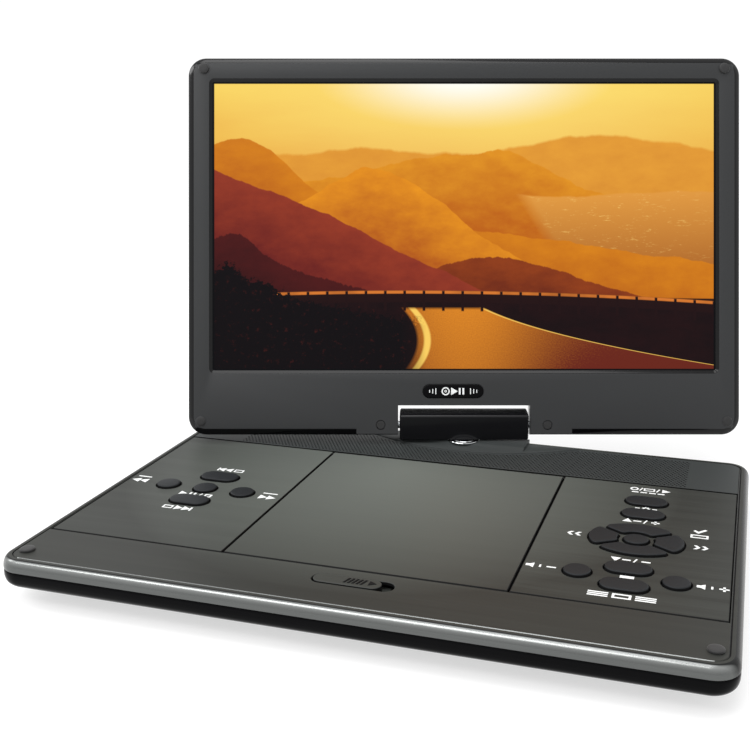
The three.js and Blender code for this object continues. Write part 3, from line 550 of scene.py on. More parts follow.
def rim_with_painted_highlight(name):
    """Satin lacquer, charcoal round the sides and rear, with a painted highlight: faces that look to the
    front turn silver and metallic, paler still towards the top of the shoulder.
    """
    look = Look(name, Specular_IOR_Level=0.12)
    _, across, up = look.axes(look.node("ShaderNodeTexCoord").outputs["Normal"])
    # Painted highlight: faces that look to the front get the silver, in place of the front light's
    # reflection.
    front = (across * -1.0).above(0.55, 0.3)
    grain = look.noise(1.0, 4.0, 0.6, look.stretch((30.0, 1400.0, 1400.0)))
    # Painted highlight: the silver is paler where the shoulder turns up towards the light above.
    crest = up.above(0.5, 0.5)
    silver = look.mix(crest + grain * 0.15, linear(88, 90, 89), linear(144, 146, 145))
    look.put(look.shader.inputs["Metallic"], front * 0.9)
    look.base(front, linear(26, 27, 27), silver)
    look.rough(grain * 0.1 + 0.2)
    look.relief(grain, 0.000004)
    return look.material


def metal(name, colour, roughness, streak=(900.0, 900.0, 40.0), relief=0.000006):
    look = Look(name, Metallic=1.0)
    lines = look.noise(1.0, 4.0, 0.6, look.stretch(streak))
    dark = tuple(0.82 * v for v in linear(*colour)[:3])
    look.base(lines, (*dark, 1.0), linear(*colour))
    look.rough(lines * 0.12 + (roughness - 0.05))
    look.relief(lines, relief)
    return look.material


def rubbery(name, dark, light):
    look = Look(name, Sheen_Weight=0.15, Sheen_Roughness=0.5)
    dust = look.noise(400.0, 5.0, 0.7)
    pits = look.cells(1900.0)
    look.base(dust, linear(*dark), linear(*light))
    look.rough(dust * 0.15 + 0.62)
    look.relief(pits, 0.00004)
    return look.material


def circuit(name):
    """A green board with straight copper tracks, round pads and a matt mask."""
    look = Look(name)
    x, y, _ = look.axes(look.places)
    wander = look.noise(55.0, 0.0)
    rows = (y * 420.0 + (wander * 6.0).math("ROUND")).math("FRACT")
    columns = (x * 380.0 + (wander * 5.0).math("ROUND")).math("FRACT")
    tracks = rows.above(0.7, 0.06) * wander.above(0.5, 0.01)
    tracks = tracks.math("MAXIMUM", columns.above(0.74, 0.06) * wander.below(0.5, 0.01))
    pads = look.cells(190.0).below(0.16, 0.03)
    mask = look.mix(tracks, linear(18, 74, 44), linear(38, 112, 64))
    look.put(look.shader.inputs["Base Color"], look.mix(pads, mask, linear(196, 188, 150)))
    look.rough(tracks * 0.1 + 0.38)
    look.relief(tracks.math("MAXIMUM", pads), 0.00006)
    return look.material


def wrapped(name):
    """A shrink-wrapped cell pack, with soft creases."""
    look = Look(name)
    creases = look.noise(90.0, 3.0, 0.5, look.stretch((1.0, 2.6, 1.0)), 1.2)
    look.base(creases, linear(34, 62, 116), linear(52, 88, 150))
    look.rough(creases * 0.15 + 0.24)
    look.relief(creases, 0.0004)
    return look.material


def ink(name):
    """White printed marks."""
    look = Look(name)
    spots = look.noise(3000.0, 2.0)
    look.base(spots, linear(206, 208, 208), linear(236, 238, 238))
    look.rough(spots * 0.1 + 0.45)
    look.relief(spots, 0.00001)
    return look.material


def lens_glass(name):
    look = Look(name, Coat_Weight=1.0, Coat_Roughness=0.03)
    tint = look.noise(500.0, 1.0)
    look.base(tint, linear(28, 20, 58), linear(66, 30, 96))
    look.rough(tint * 0.04 + 0.05)
    return look.material


SCREEN_SHAPE = 1.744


class Picture:
    """The lit display's picture, drawn from the sky down to the bushes. Its u and v run from 0 to 1."""

    def __init__(self, look):
        self.look = look
        uv = look.node("ShaderNodeUVMap", uv_map="screen").outputs[0]
        self.u, self.v, _ = look.axes(uv)
        self.wide = look.stretch((SCREEN_SHAPE, 1.0, 1.0), uv)
        self.rough = self.grain(7.0, 6.0, 0.55, (1.0, 0.0, 1.0))
        self.fine = self.grain(60.0, 5.0, 0.65, (1.0, 0.0, 1.0))
        self.relief = self.grain(9.0, 7.0, 0.62, (1.0, 1.7, 1.0))
        self.clouds = self.grain(3.0, 5.0, 0.55, (0.7, 3.2, 1.0))
        self.glow = self.bell(0.52, 0.5) * self.fall(1.05, 0.42)
        self.colour = None

    def grain(self, scale, detail=4.0, roughness=0.6, squeeze=(1.0, 1.0, 1.0)):
        return self.look.noise(scale, detail, roughness, self.look.stretch(squeeze, self.wide)) - 0.5

    def bell(self, middle, width):
        share = (self.u - middle) / width
        return (share * share * -1.0).math("EXPONENT")

    def fall(self, top, depth):
        """1 at a height, fading below it."""
        return (((top - self.v) / depth).math("POWER", 2.0) * -1.0).math("EXPONENT")

    def past(self, place):
        """How far to the right of a place."""
        return (self.u - place).math("MAXIMUM", 0.0)

    def paint(self, share, colour):
        """Lays a colour, given as 0 to 255 or as a mix, over part of the picture."""
        if isinstance(colour, tuple):
            colour = linear(*colour)
        self.colour = self.look.mix(share, self.colour, colour)

    def tone(self, share, low, high):
        return self.look.mix(share, linear(*low), linear(*high))

    def hills(self, height, low, high, base, shade=0.9):
        """A line of hills whose folds are lit from above."""
        slope = (self.v - height) * 2.2 + self.relief * shade + base
        self.paint(self.v.below(height, 0.004), self.tone(slope.clamped(), low, high))

    def sky(self):
        rise = (self.v + self.clouds * 0.2).above(0.83, 0.36)
        self.colour = self.tone(rise, (226, 142, 34), (246, 206, 84))
        self.paint(self.glow * 0.85, (255, 226, 120))
        sun = self.bell(0.5, 0.2) * self.fall(1.03, 0.13)
        self.paint(sun.above(0.5, 0.8), (255, 254, 244))

    def far_hills(self):
        far = 0.74 + self.bell(0.78, 0.2) * 0.075 + self.bell(0.3, 0.12) * 0.03 + self.rough * 0.05
        haze = self.tone(self.relief + self.v, (206, 128, 40), (232, 160, 52))
        self.paint(self.v.below(far, 0.01), haze)
        crest = 0.66 + self.bell(0.58, 0.09) * 0.09 + self.bell(0.42, 0.12) * 0.075
        crest = crest + self.bell(0.95, 0.16) * 0.03 + self.rough * 0.07 - self.past(0.66) * 0.5
        self.hills(crest, (190, 98, 14), (240, 164, 34), 0.6)

    def sea(self):
        depth = self.v * 2.2 + self.glow * 0.4 - 0.55
        water = self.tone(depth.clamped(), (150, 74, 22), (232, 160, 66))
        ripple = self.grain(120.0, 3.0, 0.7, (0.35, 1.5, 1.0))
        swell = self.grain(30.0, 2.0, 0.5, (0.5, 1.2, 1.0))
        glitter = (ripple + swell * 0.5).above(0.17, 0.12) * self.bell(0.8, 0.2)
        water = self.look.mix(glitter * 0.5, water, linear(255, 214, 120))
        shore = 0.62 + self.rough * 0.03 - self.bell(0.7, 0.1) * 0.02
        self.paint(self.v.below(shore, 0.006) * (self.u + self.v * 0.35).above(0.83, 0.03), water)

    def near_hills(self):
        u, bell, rough, fine = self.u, self.bell, self.rough, self.fine
        west = 0.62 + bell(0.06, 0.13) * 0.2 - u * 0.25 + rough * 0.05
        self.hills(west, (178, 88, 12), (222, 136, 18), 0.7)
        middle = 0.6 + bell(0.36, 0.16) * 0.13 - self.past(0.3) * 0.72 + rough * 0.06 - bell(0.0, 0.2) * 0.1
        self.hills(middle, (164, 66, 16), (238, 152, 24), 0.8)
        headland = 0.36 + bell(0.6, 0.14) * 0.05 - (u - 0.52).math("ABSOLUTE") * 0.3
        headland = headland + fine * 0.012 + rough * 0.05
        self.hills(headland, (96, 30, 12), (168, 74, 20), 0.5)
        slope = 0.7 - u * 0.78 + rough * 0.05 + bell(0.22, 0.1) * 0.02
        self.hills(slope, (92, 20, 22), (158, 60, 34), 0.75)
        near = 0.43 - u * 0.5 + bell(0.05, 0.05) * 0.07 + fine * 0.03 + rough * 0.04
        self.hills(near, (44, 8, 8), (92, 24, 20), 0.5, 0.7)

    def ground(self):
        line = 0.265 - self.past(0.2) * 0.02
        self.paint(self.v.below(line, 0.004), self.tone(self.relief + 0.35, (10, 1, 1), (40, 8, 7)))

    def road(self):
        """The road climbs from the lower edge and bends away to the left behind the verge."""
        u, v = self.u, self.v
        bend = (0.235 - v) * 4.2
        left = 0.382 + v * 0.5 - v * v * 2.4
        right = 0.52 + bend * bend * 0.34 + bend * 0.22
        on_road = u.above(left, 0.006) * u.below(right, 0.006) * v.below(0.215, 0.01)
        sheen = self.bell(0.5, 0.16) * 0.75 + self.grain(220.0, 2.0) * 0.5 + (v - 0.1) * 1.2
        self.paint(on_road, self.tone(sheen.clamped(), (104, 34, 18), (226, 138, 32)))
        for edge, width in ((left, 0.012), (right - 0.02, 0.014)):
            line = (u - edge - width * 1.6).math("ABSOLUTE").below(width * 0.55, 0.004)
            self.paint(line * on_road, (250, 206, 96))

    def rail(self):
        """The guard rail is a dark band with a bright top, on short posts."""
        u, v = self.u, self.v
        rail = 0.262 + (u - 0.45) * (u - 0.45) * -0.1 - u * 0.012
        top = rail + 0.02
        self.paint(v.below(top, 0.004) * v.above(rail - 0.02, 0.004), (30, 6, 4))
        glint = (self.grain(9.0, 2.0) + 0.9).above(0.6, 0.6)
        self.paint(v.below(top, 0.003) * v.above(rail + 0.01, 0.003) * glint, (214, 120, 44))
        post = (u * 26.0).math("FRACT").above(0.86, 0.05)
        self.paint(post * v.below(top, 0.004) * v.above(rail - 0.05, 0.004), (28, 5, 4))

    def bushes(self):
        """Bushes stand against the light at the left."""
        leaves = self.grain(46.0, 6.0, 0.72)
        top = 0.3 - self.u * 0.32 + self.bell(0.03, 0.03) * 0.08 + self.bell(0.1, 0.04) * 0.04 + leaves * 0.17
        tone = self.tone((leaves * 2.0).above(0.3, 0.3), (6, 1, 1), (64, 18, 10))
        self.paint(self.v.below(top, 0.006) * self.u.below(0.4, 0.05), tone)

    def lit_area(self):
        """1 over the picture and 0 on the black line round it."""
        wide = self.u.above(0.0035, 0.001) * self.u.below(0.9965, 0.001)
        return wide * self.v.above(0.006, 0.002) * self.v.below(0.994, 0.002)


def landscape(name):
    """The lit display: a road under a low sun, over folded hills and a bright sea."""
    look = Look(name, Roughness=0.22, Specular_IOR_Level=0.03, Emission_Strength=1.0)
    look.put(look.shader.inputs["Base Color"], (0.004, 0.004, 0.005, 1.0))
    picture = Picture(look)
    picture.sky()
    picture.far_hills()
    picture.sea()
    picture.near_hills()
    picture.ground()
    picture.road()
    picture.rail()
    picture.bushes()
    shown = look.mix(picture.lit_area(), (0.0, 0.0, 0.0, 1.0), picture.colour)
    look.put(look.shader.inputs["Emission Color"], shown)
    look.rough(picture.grain(400.0, 2.0) * 0.06 + 0.22)
    return look.material


QUIET = {"Specular_IOR_Level": 0.16}
KEY_SHEEN = {"Specular_IOR_Level": 0.12}
LID_SHEEN = {"IOR": 1.33}
SHELL_LOOK = glossy("shell_gloss_black", (4, 4, 5), (7, 7, 8), 0.16, Specular_IOR_Level=0.05)
# The deck, panel and door looks carry the painted soft highlight near the hinge.
DECK_LOOK = brushed("deck_brushed_grey", (40, 41, 39), (50, 51, 48), 0.5, **QUIET)
PANEL_LOOK = brushed("panel_brushed_grey", (35, 36, 34), (56, 58, 55), 0.5, **QUIET)
DOOR_LOOK = brushed("door_satin_grey", (42, 43, 41), (50, 51, 48), 0.5, 4.0, 900.0, 0.000004, **QUIET)
GRILLE_LOOK = moulded("grille_grey", (46, 49, 49), (56, 59, 59), 0.5, **QUIET)
CLOTH_LOOK = moulded("speaker_cloth_black", (8, 8, 9), (18, 18, 19), 0.9, 1500.0, 0.0001, **QUIET)
# Painted shade: near-black laid on recess floors, hole and key walls and seam bevels where shade falls; it
# also colours the black tops of the catch's grip ridges.
PAINTED_SHADE_AND_RIDGE_LOOK = moulded("painted_shade_and_ridge_black", (5, 5, 6), (10, 10, 11), 0.7, **QUIET)
RIM_HIGHLIGHT_LOOK = rim_with_painted_highlight("rim_satin_painted_highlight")
LID_LOOK = moulded("lid_charcoal", (38, 39, 40), (43, 44, 45), 0.42, 3200.0, 0.000012, 0.04, **LID_SHEEN)
EDGE_LOOK = glossy("lid_edge_gloss", (5, 5, 6), (9, 9, 10), 0.14, Specular_IOR_Level=0.22)
BACK_LOOK = glossy("lid_back_gloss", (8, 8, 10), (13, 13, 15), 0.12, IOR=1.3)
HINGE_LOOK = glossy("hinge_gloss_black", (16, 16, 18), (21, 21, 23), 0.14, IOR=1.3)
KEY_LOOK = moulded("key_black", (28, 30, 32), (37, 39, 41), 0.48, 3600.0, 0.00002, 0.05, **KEY_SHEEN)
RUBBER_LOOK = rubbery("rubber_black", (10, 10, 11), (17, 17, 18))
CHROME_LOOK = metal("chrome", (222, 224, 226), 0.1, (30.0, 30.0, 2000.0), 0.000002)
STEEL_LOOK = metal("steel", (168, 171, 174), 0.3)
GOLD_LOOK = metal("contact_gold", (214, 176, 92), 0.25)
INNER_LOOK = moulded("inner_black", (24, 25, 27), (34, 35, 37), 0.55, 1900.0, 0.00005)
HUB_LOOK = moulded("hub_white", (200, 201, 196), (218, 219, 214), 0.42)
BOARD_LOOK = circuit("circuit_green")
CELL_LOOK = wrapped("cell_wrap_blue")
LENS_LOOK = lens_glass("lens_violet")
INK_LOOK = ink("white_print")
SCREEN_LOOK = landscape("lit_display")


# ---------------------------------------------------------------- base: lower shell
SOCKETS = {
    "dc_jack": (1, 84, 9, 7),
    "av_jack": (1, 66, 8, 7),
    "headphone_jack": (-1, 84, 8, 7),
    "usb_port": (-1, 60, 15, 6.6),
    "card_slot": (-1, 28, 27, 4.4),
}
SOCKET_Z = 12.8
SWITCH = (33, 15.2, 13, 3.2)


def side_box(side, y, width, z, height, inward=9.0, outward=2.0):
    xs = sorted((side * (BODY_HALF[0] - inward), side * (BODY_HALF[0] + outward)))
    return Form().box(xs, (y - width / 2, y + width / 2), (z - height / 2, z + height / 2))


def side_windows():
    """The openings in the sides for the sockets and the power switch."""
    windows = []
    for side, y, width, height in SOCKETS.values():
        windows.append(side_box(side, y, width + 2 * LOOSE, SOCKET_Z, height + 2 * LOOSE))
    y, z, width, height = SWITCH
    return [*windows, side_box(1, y, width, z, height)]


GROOVE_LINE = 0.8


def groove_frame(half_x, half_y, radius, zs, y, steps):
    """A thin rectangular frame that cuts a groove."""
    low, high = zs
    outer = Form().slab(half_x, half_y, radius, [(0, low), (0, high)], 0, y, steps)
    core_side = [(GROOVE_LINE, low - 1), (GROOVE_LINE, high + 1)]
    core = Form().slab(half_x, half_y, radius, core_side, 0, y, steps)
    return combine(as_object("groove", outer), [core])


belly = curve(BELLY, 5)
shell_outside = [*belly, (0, SHELL_TOP - 1.2), (0.1, SHELL_TOP - 0.5), (0.4, SHELL_TOP)]
shell_inside = [(WALL, SHELL_TOP)] + [(inset + WALL, z + WALL) for inset, z in reversed(belly[4:])]
lower = as_object("lower_shell", Form().slab(*BODY_HALF, CORNER, [*shell_outside, *shell_inside]))
vents = [Form().pill(x, 96, 3.2, 22, [(0, -1), (0, 9)], 4) for x in range(-30, 31, 12)]
screw_places = [(sx * 100, sy * 86) for sx in (-1, 1) for sy in (-1, 1)] + [(0, -88), (0, 60)]
screw_seats = [Form().lathe([(3.4, -1), (3.4, 1.2)], x, y, 32) for x, y in screw_places]
combine(lower, [*side_windows(), *vents, *screw_seats, groove_frame(50, 30, 3, (-1, 0.4), -4, 6)])
piece("lower_shell", lower, SHELL_LOOK, "base", "shell_gloss", ["bottom_shell"])


def screw_slots(half_x, half_y):
    """One arm of the cross in every screw's head."""
    return [Form().box((x - half_x, x + half_x), (y - half_y, y + half_y), (0, 0.9)) for x, y in screw_places]


screws = Form()
for x, y in screw_places:
    screws.lathe([(0.01, 0.4), (2.3, 0.45), (2.9, 0.75), (2.9, 1.1), (2.7, 1.3)], x, y, 32)
screws = as_object("case_screws", screws)
combine(screws, screw_slots(1.8, 0.35))
combine(screws, screw_slots(0.35, 1.8))
piece("case_screws", screws, STEEL_LOOK, "base", "steel")

FOOT_RIM = [(5.9, -1.7), (6.2, -2), (6.6, -1.97), (6.9, -1.8), (7, -1.5), (7, -0.3)]
for end, sy in (("front", -1), ("rear", 1)):
    for where, sx in SIDES:
        foot = Form().lathe([(0.01, -1.7), (5.4, -1.7), *FOOT_RIM], sx * 128, sy * 78)
        piece(f"rubber_foot_{end}_{where}", foot, RUBBER_LOOK, "base", "rubber", [f"foot_{end}_{where}"])

# ---------------------------------------------------------------- base: rim, front strip and slot
LIP_GROOVE = (4.4, 4.9, 5.25)
ABOVE_DECK = DECK_TOP + 1


def lip_groove():
    """A fine groove that parts the rim from the deck; its deck side is rounded over."""
    near, floor_end, far = LIP_GROOVE
    section = [(near, DECK_TOP - 0.5), (near, ABOVE_DECK), (far, ABOVE_DECK), (far, DECK_TOP - 0.02)]
    section += [(floor_end, DECK_TOP - 0.28), (floor_end, DECK_TOP - 0.5)]
    rings = []
    for inset, z in section:
        rings.append(lift(outline(BODY_HALF[0] - inset, BODY_HALF[1] - inset, CORNER - inset), z))
    return as_object("groove", Form().skin(rings, closed=True))


def deck_cuts():
    """The hollow under the deck, the seats of the panels and the speaker strip, and the catch's slot."""
    low, seat = RIM_BOTTOM - 2, (DECK_SEAT, ABOVE_DECK)
    through = (low, ABOVE_DECK)
    wide = (-PANEL_X[1] - SEAM / 2, PANEL_X[1] + SEAM / 2)
    panels_y = (PANEL_Y[0] - SEAM / 2, PANEL_Y[1] + SEAM / 2)
    strip_y = GRILLE_Y[0] - SEAM / 2
    strip_corner = GRILLE_CORNER + SEAM / 2
    slot_side = [(0, low), (0, DECK_TOP - 0.25), (-0.35, DECK_TOP + 0.1), (-0.35, ABOVE_DECK)]
    hollow_side = [(WALL, RIM_LOW - 1), (WALL, RIM_BOTTOM), (RIM_WIDTH, DECK_TOP - 1.6)]
    return [
        Form().slab(*BODY_HALF, CORNER, hollow_side),
        Form().box(wide, panels_y, seat),
        Form().box((-159, 159), (PANEL_Y[0] + 4, PANEL_Y[1] - 4), through),
        Form().box((-69.5, 69.5), panels_y, through),
        Form().box(wide, (strip_y, 104), seat),
        Form().slab(wide[1], 30, strip_corner, [(0, z) for z in seat], 0, 84.5, 10),
        Form().box((-150, 150), (GRILLE_Y[0] + 4, GRILLE_Y[1] - 4), through),
        Form().pill(1.1, SLIDER_Y, 39.2, 9.4, slot_side),
    ]


shoulder = quarter(0, RIM_LOW + 0.7, 3.2, DECK_TOP - RIM_LOW - 0.7, 14)
rim = [(0.45, RIM_LOW - 0.15), (0.05, RIM_LOW + 0.25), *shoulder]
upper = as_object("upper_shell", Form().slab(*BODY_HALF, CORNER, rim))
combine(upper, [*deck_cuts(), *side_windows(), lip_groove()])


def is_rim(middle, normal):
    """True on the rim's flank and shoulder and on the rounded lip inside it."""
    inset = min(BODY_HALF[0] - abs(middle.x), BODY_HALF[1] - abs(middle.y))
    if inset >= 5.3 or middle.z <= RIM_LOW - 0.5:
        return False
    return normal.z < 0.985 and (inset < 3.3 or normal.z > 0.3)


def is_recess(middle, normal):
    return middle.z < DECK_TOP - 0.2 and max(abs(middle.x) - 164.4, abs(middle.y) - 115.5) < 0


# The rim gets the painted highlight and the deck's recesses get the painted shade.
upper_trims = [(RIM_HIGHLIGHT_LOOK, is_rim), (PAINTED_SHADE_AND_RIDGE_LOOK, is_recess)]
piece("upper_shell", upper, DECK_LOOK, "base", "deck_brushed", ["top_shell"], trims=upper_trims)


# ---------------------------------------------------------------- base: keys and their panels
def key_sizes():
    """Each plain key's centre and size."""
    low, high = KEYS_Y - PAD_STEP, KEYS_Y + PAD_STEP
    return {
        "previous": (LEFT_X, KEYS_Y + PITCH_Y, *LONG),
        "rewind": (LEFT_X - PITCH_X, KEYS_Y, *ROUND),
        "play_pause": (LEFT_X, KEYS_Y, *ROUND),
        "fast_forward": (LEFT_X + PITCH_X, KEYS_Y, *ROUND),
        "next": (LEFT_X, KEYS_Y - PITCH_Y, *LONG),
        "mode": (RIGHT_X, high + PITCH_Y, *LONG),
        "settings": (RIGHT_X, high, *LONG),
        "ok": (RIGHT_X, KEYS_Y, 12.0, 11.0),
        "stop": (RIGHT_X, low, *LONG),
        "menu": (RIGHT_X, low - PITCH_Y, *LONG),
        "volume_down": (RIGHT_X - PITCH_X, low - PITCH_Y / 2, *ROUND),
        "volume_up": (RIGHT_X + PITCH_X, low - PITCH_Y / 2, *ROUND),
    }


PAD_SPLIT = math.radians(32)
PAD_KEYS = {
    "right": (0.0, PAD_SPLIT),
    "up": (math.pi / 2, math.pi / 2 - PAD_SPLIT),
    "left": (math.pi, PAD_SPLIT),
    "down": (-math.pi / 2, math.pi / 2 - PAD_SPLIT),
}
PAD_CORNER = 2.2


def pad_loop(turn, half, inset, steps=16):
    """A direction key's outline: a quarter of an oval ring, counter-clockwise."""
    gap = 1.2 + inset
    points = []
    for a, b, order in ((22.9 - inset, 18.2 - inset, 1), (9.2 + inset, 8.4 + inset, -1)):
        ends = []
        for ray, past in ((turn - half, gap), (turn + half, -gap)):
            across = math.hypot(a * math.sin(ray), b * math.cos(ray))
            ends.append(math.atan2(a * math.sin(ray), b * math.cos(ray)) + math.asin(past / across))
        if ends[1] < ends[0]:
            ends[1] += 2 * math.pi
        for i in range(steps + 1):
            share = i / steps if order > 0 else 1 - i / steps
            angle = ends[0] + (ends[1] - ends[0]) * share
            points.append((RIGHT_X + a * math.cos(angle), KEYS_Y + b * math.sin(angle)))
    return points


def pad_round(turn, half, by):
    return rounded(pad_loop(turn, half, PAD_CORNER), PAD_CORNER + by)


def key_profile(edge):
    """A key's side from its foot to the turn at its top, as (inset, z) pairs."""
    return [(0, KEY_LOW), *quarter(0, KEY_TOP - edge, edge, edge, 5)]


CROWN = 0.16


def is_side(middle, normal):
    return normal.z < 0.4


def is_edge(middle, normal):
    return normal.z < 0.9


def finish_key(name, form):
    body = f"key_{name}_body"
    # The key's side walls get the painted shade.
    piece(f"cap_{name}", form, KEY_LOOK, body, "key_plastic", [f"key_{name}"], trims=[(PAINTED_SHADE_AND_RIDGE_LOOK, is_side)])


def make_key(name, x, y, width, depth):
    form = Form()
    profile = key_profile(0.7)
    size = min(width, depth) / 2
    for share in (0.35, 0.7, 0.92):
        inset = 0.7 + (size - 0.72) * share
        profile.append((inset, KEY_TOP + CROWN * math.sin(share * math.pi / 2)))
    form.pill(x, y, width, depth, profile, 14)
    form.pill(x, y, width + 1.8, depth + 1.8, [(0, KEY_LOW), (0, KEY_LOW + 1.1)], 8)
    finish_key(name, form)


def make_pad_key(name, turn, half):
    form = Form()
    profile = [*key_profile(0.6), (1.2, KEY_TOP + 0.08), (1.9, KEY_TOP + 0.12)]
    form.skin([lift(pad_round(turn, half, -inset), z) for inset, z in profile])
    foot = pad_round(turn, half, 0.9)
    form.skin([lift(foot, z) for z in (KEY_LOW, KEY_LOW + 1.1)])
    finish_key(name, form)


plain_keys = key_sizes()
for name, size in plain_keys.items():
    make_key(name, *size)
for name, (turn, half) in PAD_KEYS.items():
    make_pad_key(name, turn, half)


def key_hole(x, y, width, depth):
    wide, deep = width / 2 + KEY_GAP + 0.2, depth / 2 + KEY_GAP + 0.2
    return outline(wide, deep, min(wide, deep) - 0.01, x, y, 14)


for where, side in SIDES:
    xs = sorted((side * (PANEL_X[0] + SLIT), side * (PANEL_X[1] - SLIT)))
    ys = (PANEL_Y[0] + 0.9, PANEL_Y[1] - SLIT)
    corners = [(xs[0], ys[0]), (xs[1], ys[0]), (xs[1], ys[1]), (xs[0], ys[1])]
    holes = [key_hole(*size) for size in plain_keys.values() if size[0] * side > 0]
    if side > 0:
        holes += [pad_round(turn, half, KEY_GAP + 0.15) for turn, half in PAD_KEYS.values()]
    panel = as_object("panel", Form().plate(corners, holes, PLATE_LOW, DECK_TOP, 0.38))
    # A notch in the panel's inner edge takes the door's pin.
    reach = sorted((side * 69, side * 71.6))
    combine(panel, [Form().box(reach, (DOOR_Y[1] - 0.9, PANEL_Y[1] + 1), (PLATE_LOW - 1, DOOR_PIN_Z + 0.8))])
    # The panel's bevels and walls get the painted shade, which darkens its seams and key holes.
    panel_trims = [(PAINTED_SHADE_AND_RIDGE_LOOK, is_edge)]
    stands_for = [f"{where}_key_panel"]
    piece(f"{where}_panel", panel, PANEL_LOOK, "base", "deck_brushed", stands_for, trims=panel_trims)

# ---------------------------------------------------------------- base: disc door
door_section = [(DOOR_Y[0], DOOR_UNDER + 0.15), (DOOR_Y[0] + 0.15, DOOR_UNDER), (DOOR_Y[1] - 0.2, DOOR_UNDER)]
door_section.append((DOOR_Y[1] + 0.75, DOOR_PIN_Z - 0.8))
for i in range(9):
    angle = math.pi / 2 * i / 8
    door_section.append((DOOR_Y[1] + 1.1 * math.cos(angle), DOOR_PIN_Z + 1.1 * math.sin(angle)))
door_section += [(DOOR_Y[0] + 0.5, DECK_TOP), (DOOR_Y[0], DECK_TOP - 0.7)]
bevelled = [(y, min(z, DECK_TOP - 0.35)) for y, z in door_section]
sections = ((-DOOR_HALF, bevelled), (-DOOR_HALF + 0.35, door_section), (DOOR_HALF - 0.35, door_section))
sections = (*sections, (DOOR_HALF, bevelled))
door = as_object("door_plate", Form().skin([[(x, y, z) for y, z in section] for x, section in sections]))
ring = as_object("ring", Form().lathe([(58, DOOR_UNDER - 1), (58, DOOR_UNDER + 0.5)], 0, WELL_Y, 96))
combine(ring, [Form().lathe([(55.5, DOOR_UNDER - 2), (55.5, DOOR_UNDER + 2)], 0, WELL_Y, 96)])
pins = Form()
for side in (-1, 1):
    steps = ((DOOR_HALF - 1, 0.6), (DOOR_HALF + 1.9, 0.6), (DOOR_HALF + 2.2, 0.35))
    pins.skin([ring_x(side * x, radius, DOOR_Y[1], DOOR_PIN_Z, 16) for x, radius in steps])
combine(door, [ring])
latch = Form().box((-30, -24), (DOOR_Y[0] + 0.1, DOOR_Y[0] + 2.4), (DOOR_UNDER - 2.6, DOOR_UNDER + 0.5), 0.2)
combine(door, [latch, pins], "UNION")


def is_underside(middle, normal):
    return normal.z < -0.9


# The door's bevels and walls get the painted shade.
door_trims = [(INNER_LOOK, is_underside), (PAINTED_SHADE_AND_RIDGE_LOOK, is_edge)]
piece("door_plate", door, DOOR_LOOK, "door", "door_satin", ["disc_door"], trims=door_trims)

# ---------------------------------------------------------------- base: slide catch
KNOB_X = 1.1 - 19.6 + 16.7 + LOOSE
knob_profile = [(0.5, 18.0), (0.5, DECK_TOP - 0.1), *quarter(0.5, DECK_TOP, 0.6, 0.5, 4)]
catch = Form().pill(KNOB_X, SLIDER_Y, 33.4, 9.4, knob_profile, 16)
catch.box((KNOB_X - 21, KNOB_X + 19), (SLIDER_Y - 7, SLIDER_Y + 7), (16.5, 18.1))
catch.box((KNOB_X - 21, KNOB_X - 17), (SLIDER_Y + 6, -80.2), (16.5, 17.9))
RIDGE_TOP = DECK_TOP + 0.85


def slanted(x):
    """A grip ridge's outline, which leans to the right."""
    width, half_depth, half_lean = 1.1, 2.3, 0.75
    ends = ((x - half_lean, SLIDER_Y - half_depth), (x + half_lean, SLIDER_Y + half_depth))
    (low_x, low), (high_x, high) = ends
    return [(low_x, low), (low_x + width, low), (high_x + width, high), (high_x, high)]


def raised(loop):
    levels = ((0, 22.2), (0, RIDGE_TOP - 0.2), (-0.2, RIDGE_TOP))
    return [lift(offset(loop, by), z) for by, z in levels]


def is_ridge_top(middle, normal):
    return middle.z > RIDGE_TOP - 0.3


for i in range(5):
    catch.skin(raised(slanted(KNOB_X - 0.6 + i * 2.0)))
arrow = [(KNOB_X + 10.4, SLIDER_Y - 2.1), (KNOB_X + 14, SLIDER_Y), (KNOB_X + 10.4, SLIDER_Y + 2.1)]
catch.skin(raised(arrow))
# The catch's walls get the painted shade; its ridge tops are black.
catch_trims = [(PAINTED_SHADE_AND_RIDGE_LOOK, is_side), (PAINTED_SHADE_AND_RIDGE_LOOK, is_ridge_top)]
piece("slide_catch", catch, DECK_LOOK, "slider", "deck_brushed", ["open_slider"], trims=catch_trims)

# ---------------------------------------------------------------- base: speaker strip and apron
APRON_MIDDLE = APRON_FRONT + APRON_RADIUS


def apron_loop(margin, steps=48):
    """The apron's outline: an arc at the front and a straight rear edge."""
    radius = APRON_RADIUS + margin
    half = math.acos((APRON_MIDDLE - GRILLE_Y[1] - margin) / radius)
    angles = [-math.pi / 2 - half + 2 * half * i / steps for i in range(steps + 1)]
    return [(radius * math.cos(a), APRON_MIDDLE + radius * math.sin(a)) for a in angles]


HOLE = 0.56
HOLE_PITCH = 2.2
HOLE_ROW = 1.9


def strip_loop():
    """The speaker strip's outline, which runs round the front of the apron."""
    gap = apron_loop(LOOSE)
    rear = GRILLE_Y[1]
    loop = [(-PANEL_X[1], GRILLE_Y[0] + 0.8), (PANEL_X[1], GRILLE_Y[0] + 0.8)]
    for corner, sx in ((0, 1), (1, -1)):
        if corner:
            loop += [(x, min(y, rear)) for x, y in reversed(gap)]
        for i in range(11):
            angle = (corner + i / 10) * math.pi / 2
            x = sx * (PANEL_X[1] - GRILLE_CORNER) + GRILLE_CORNER * math.cos(angle)
            loop.append((x, rear - GRILLE_CORNER + GRILLE_CORNER * math.sin(angle)))
    return loop


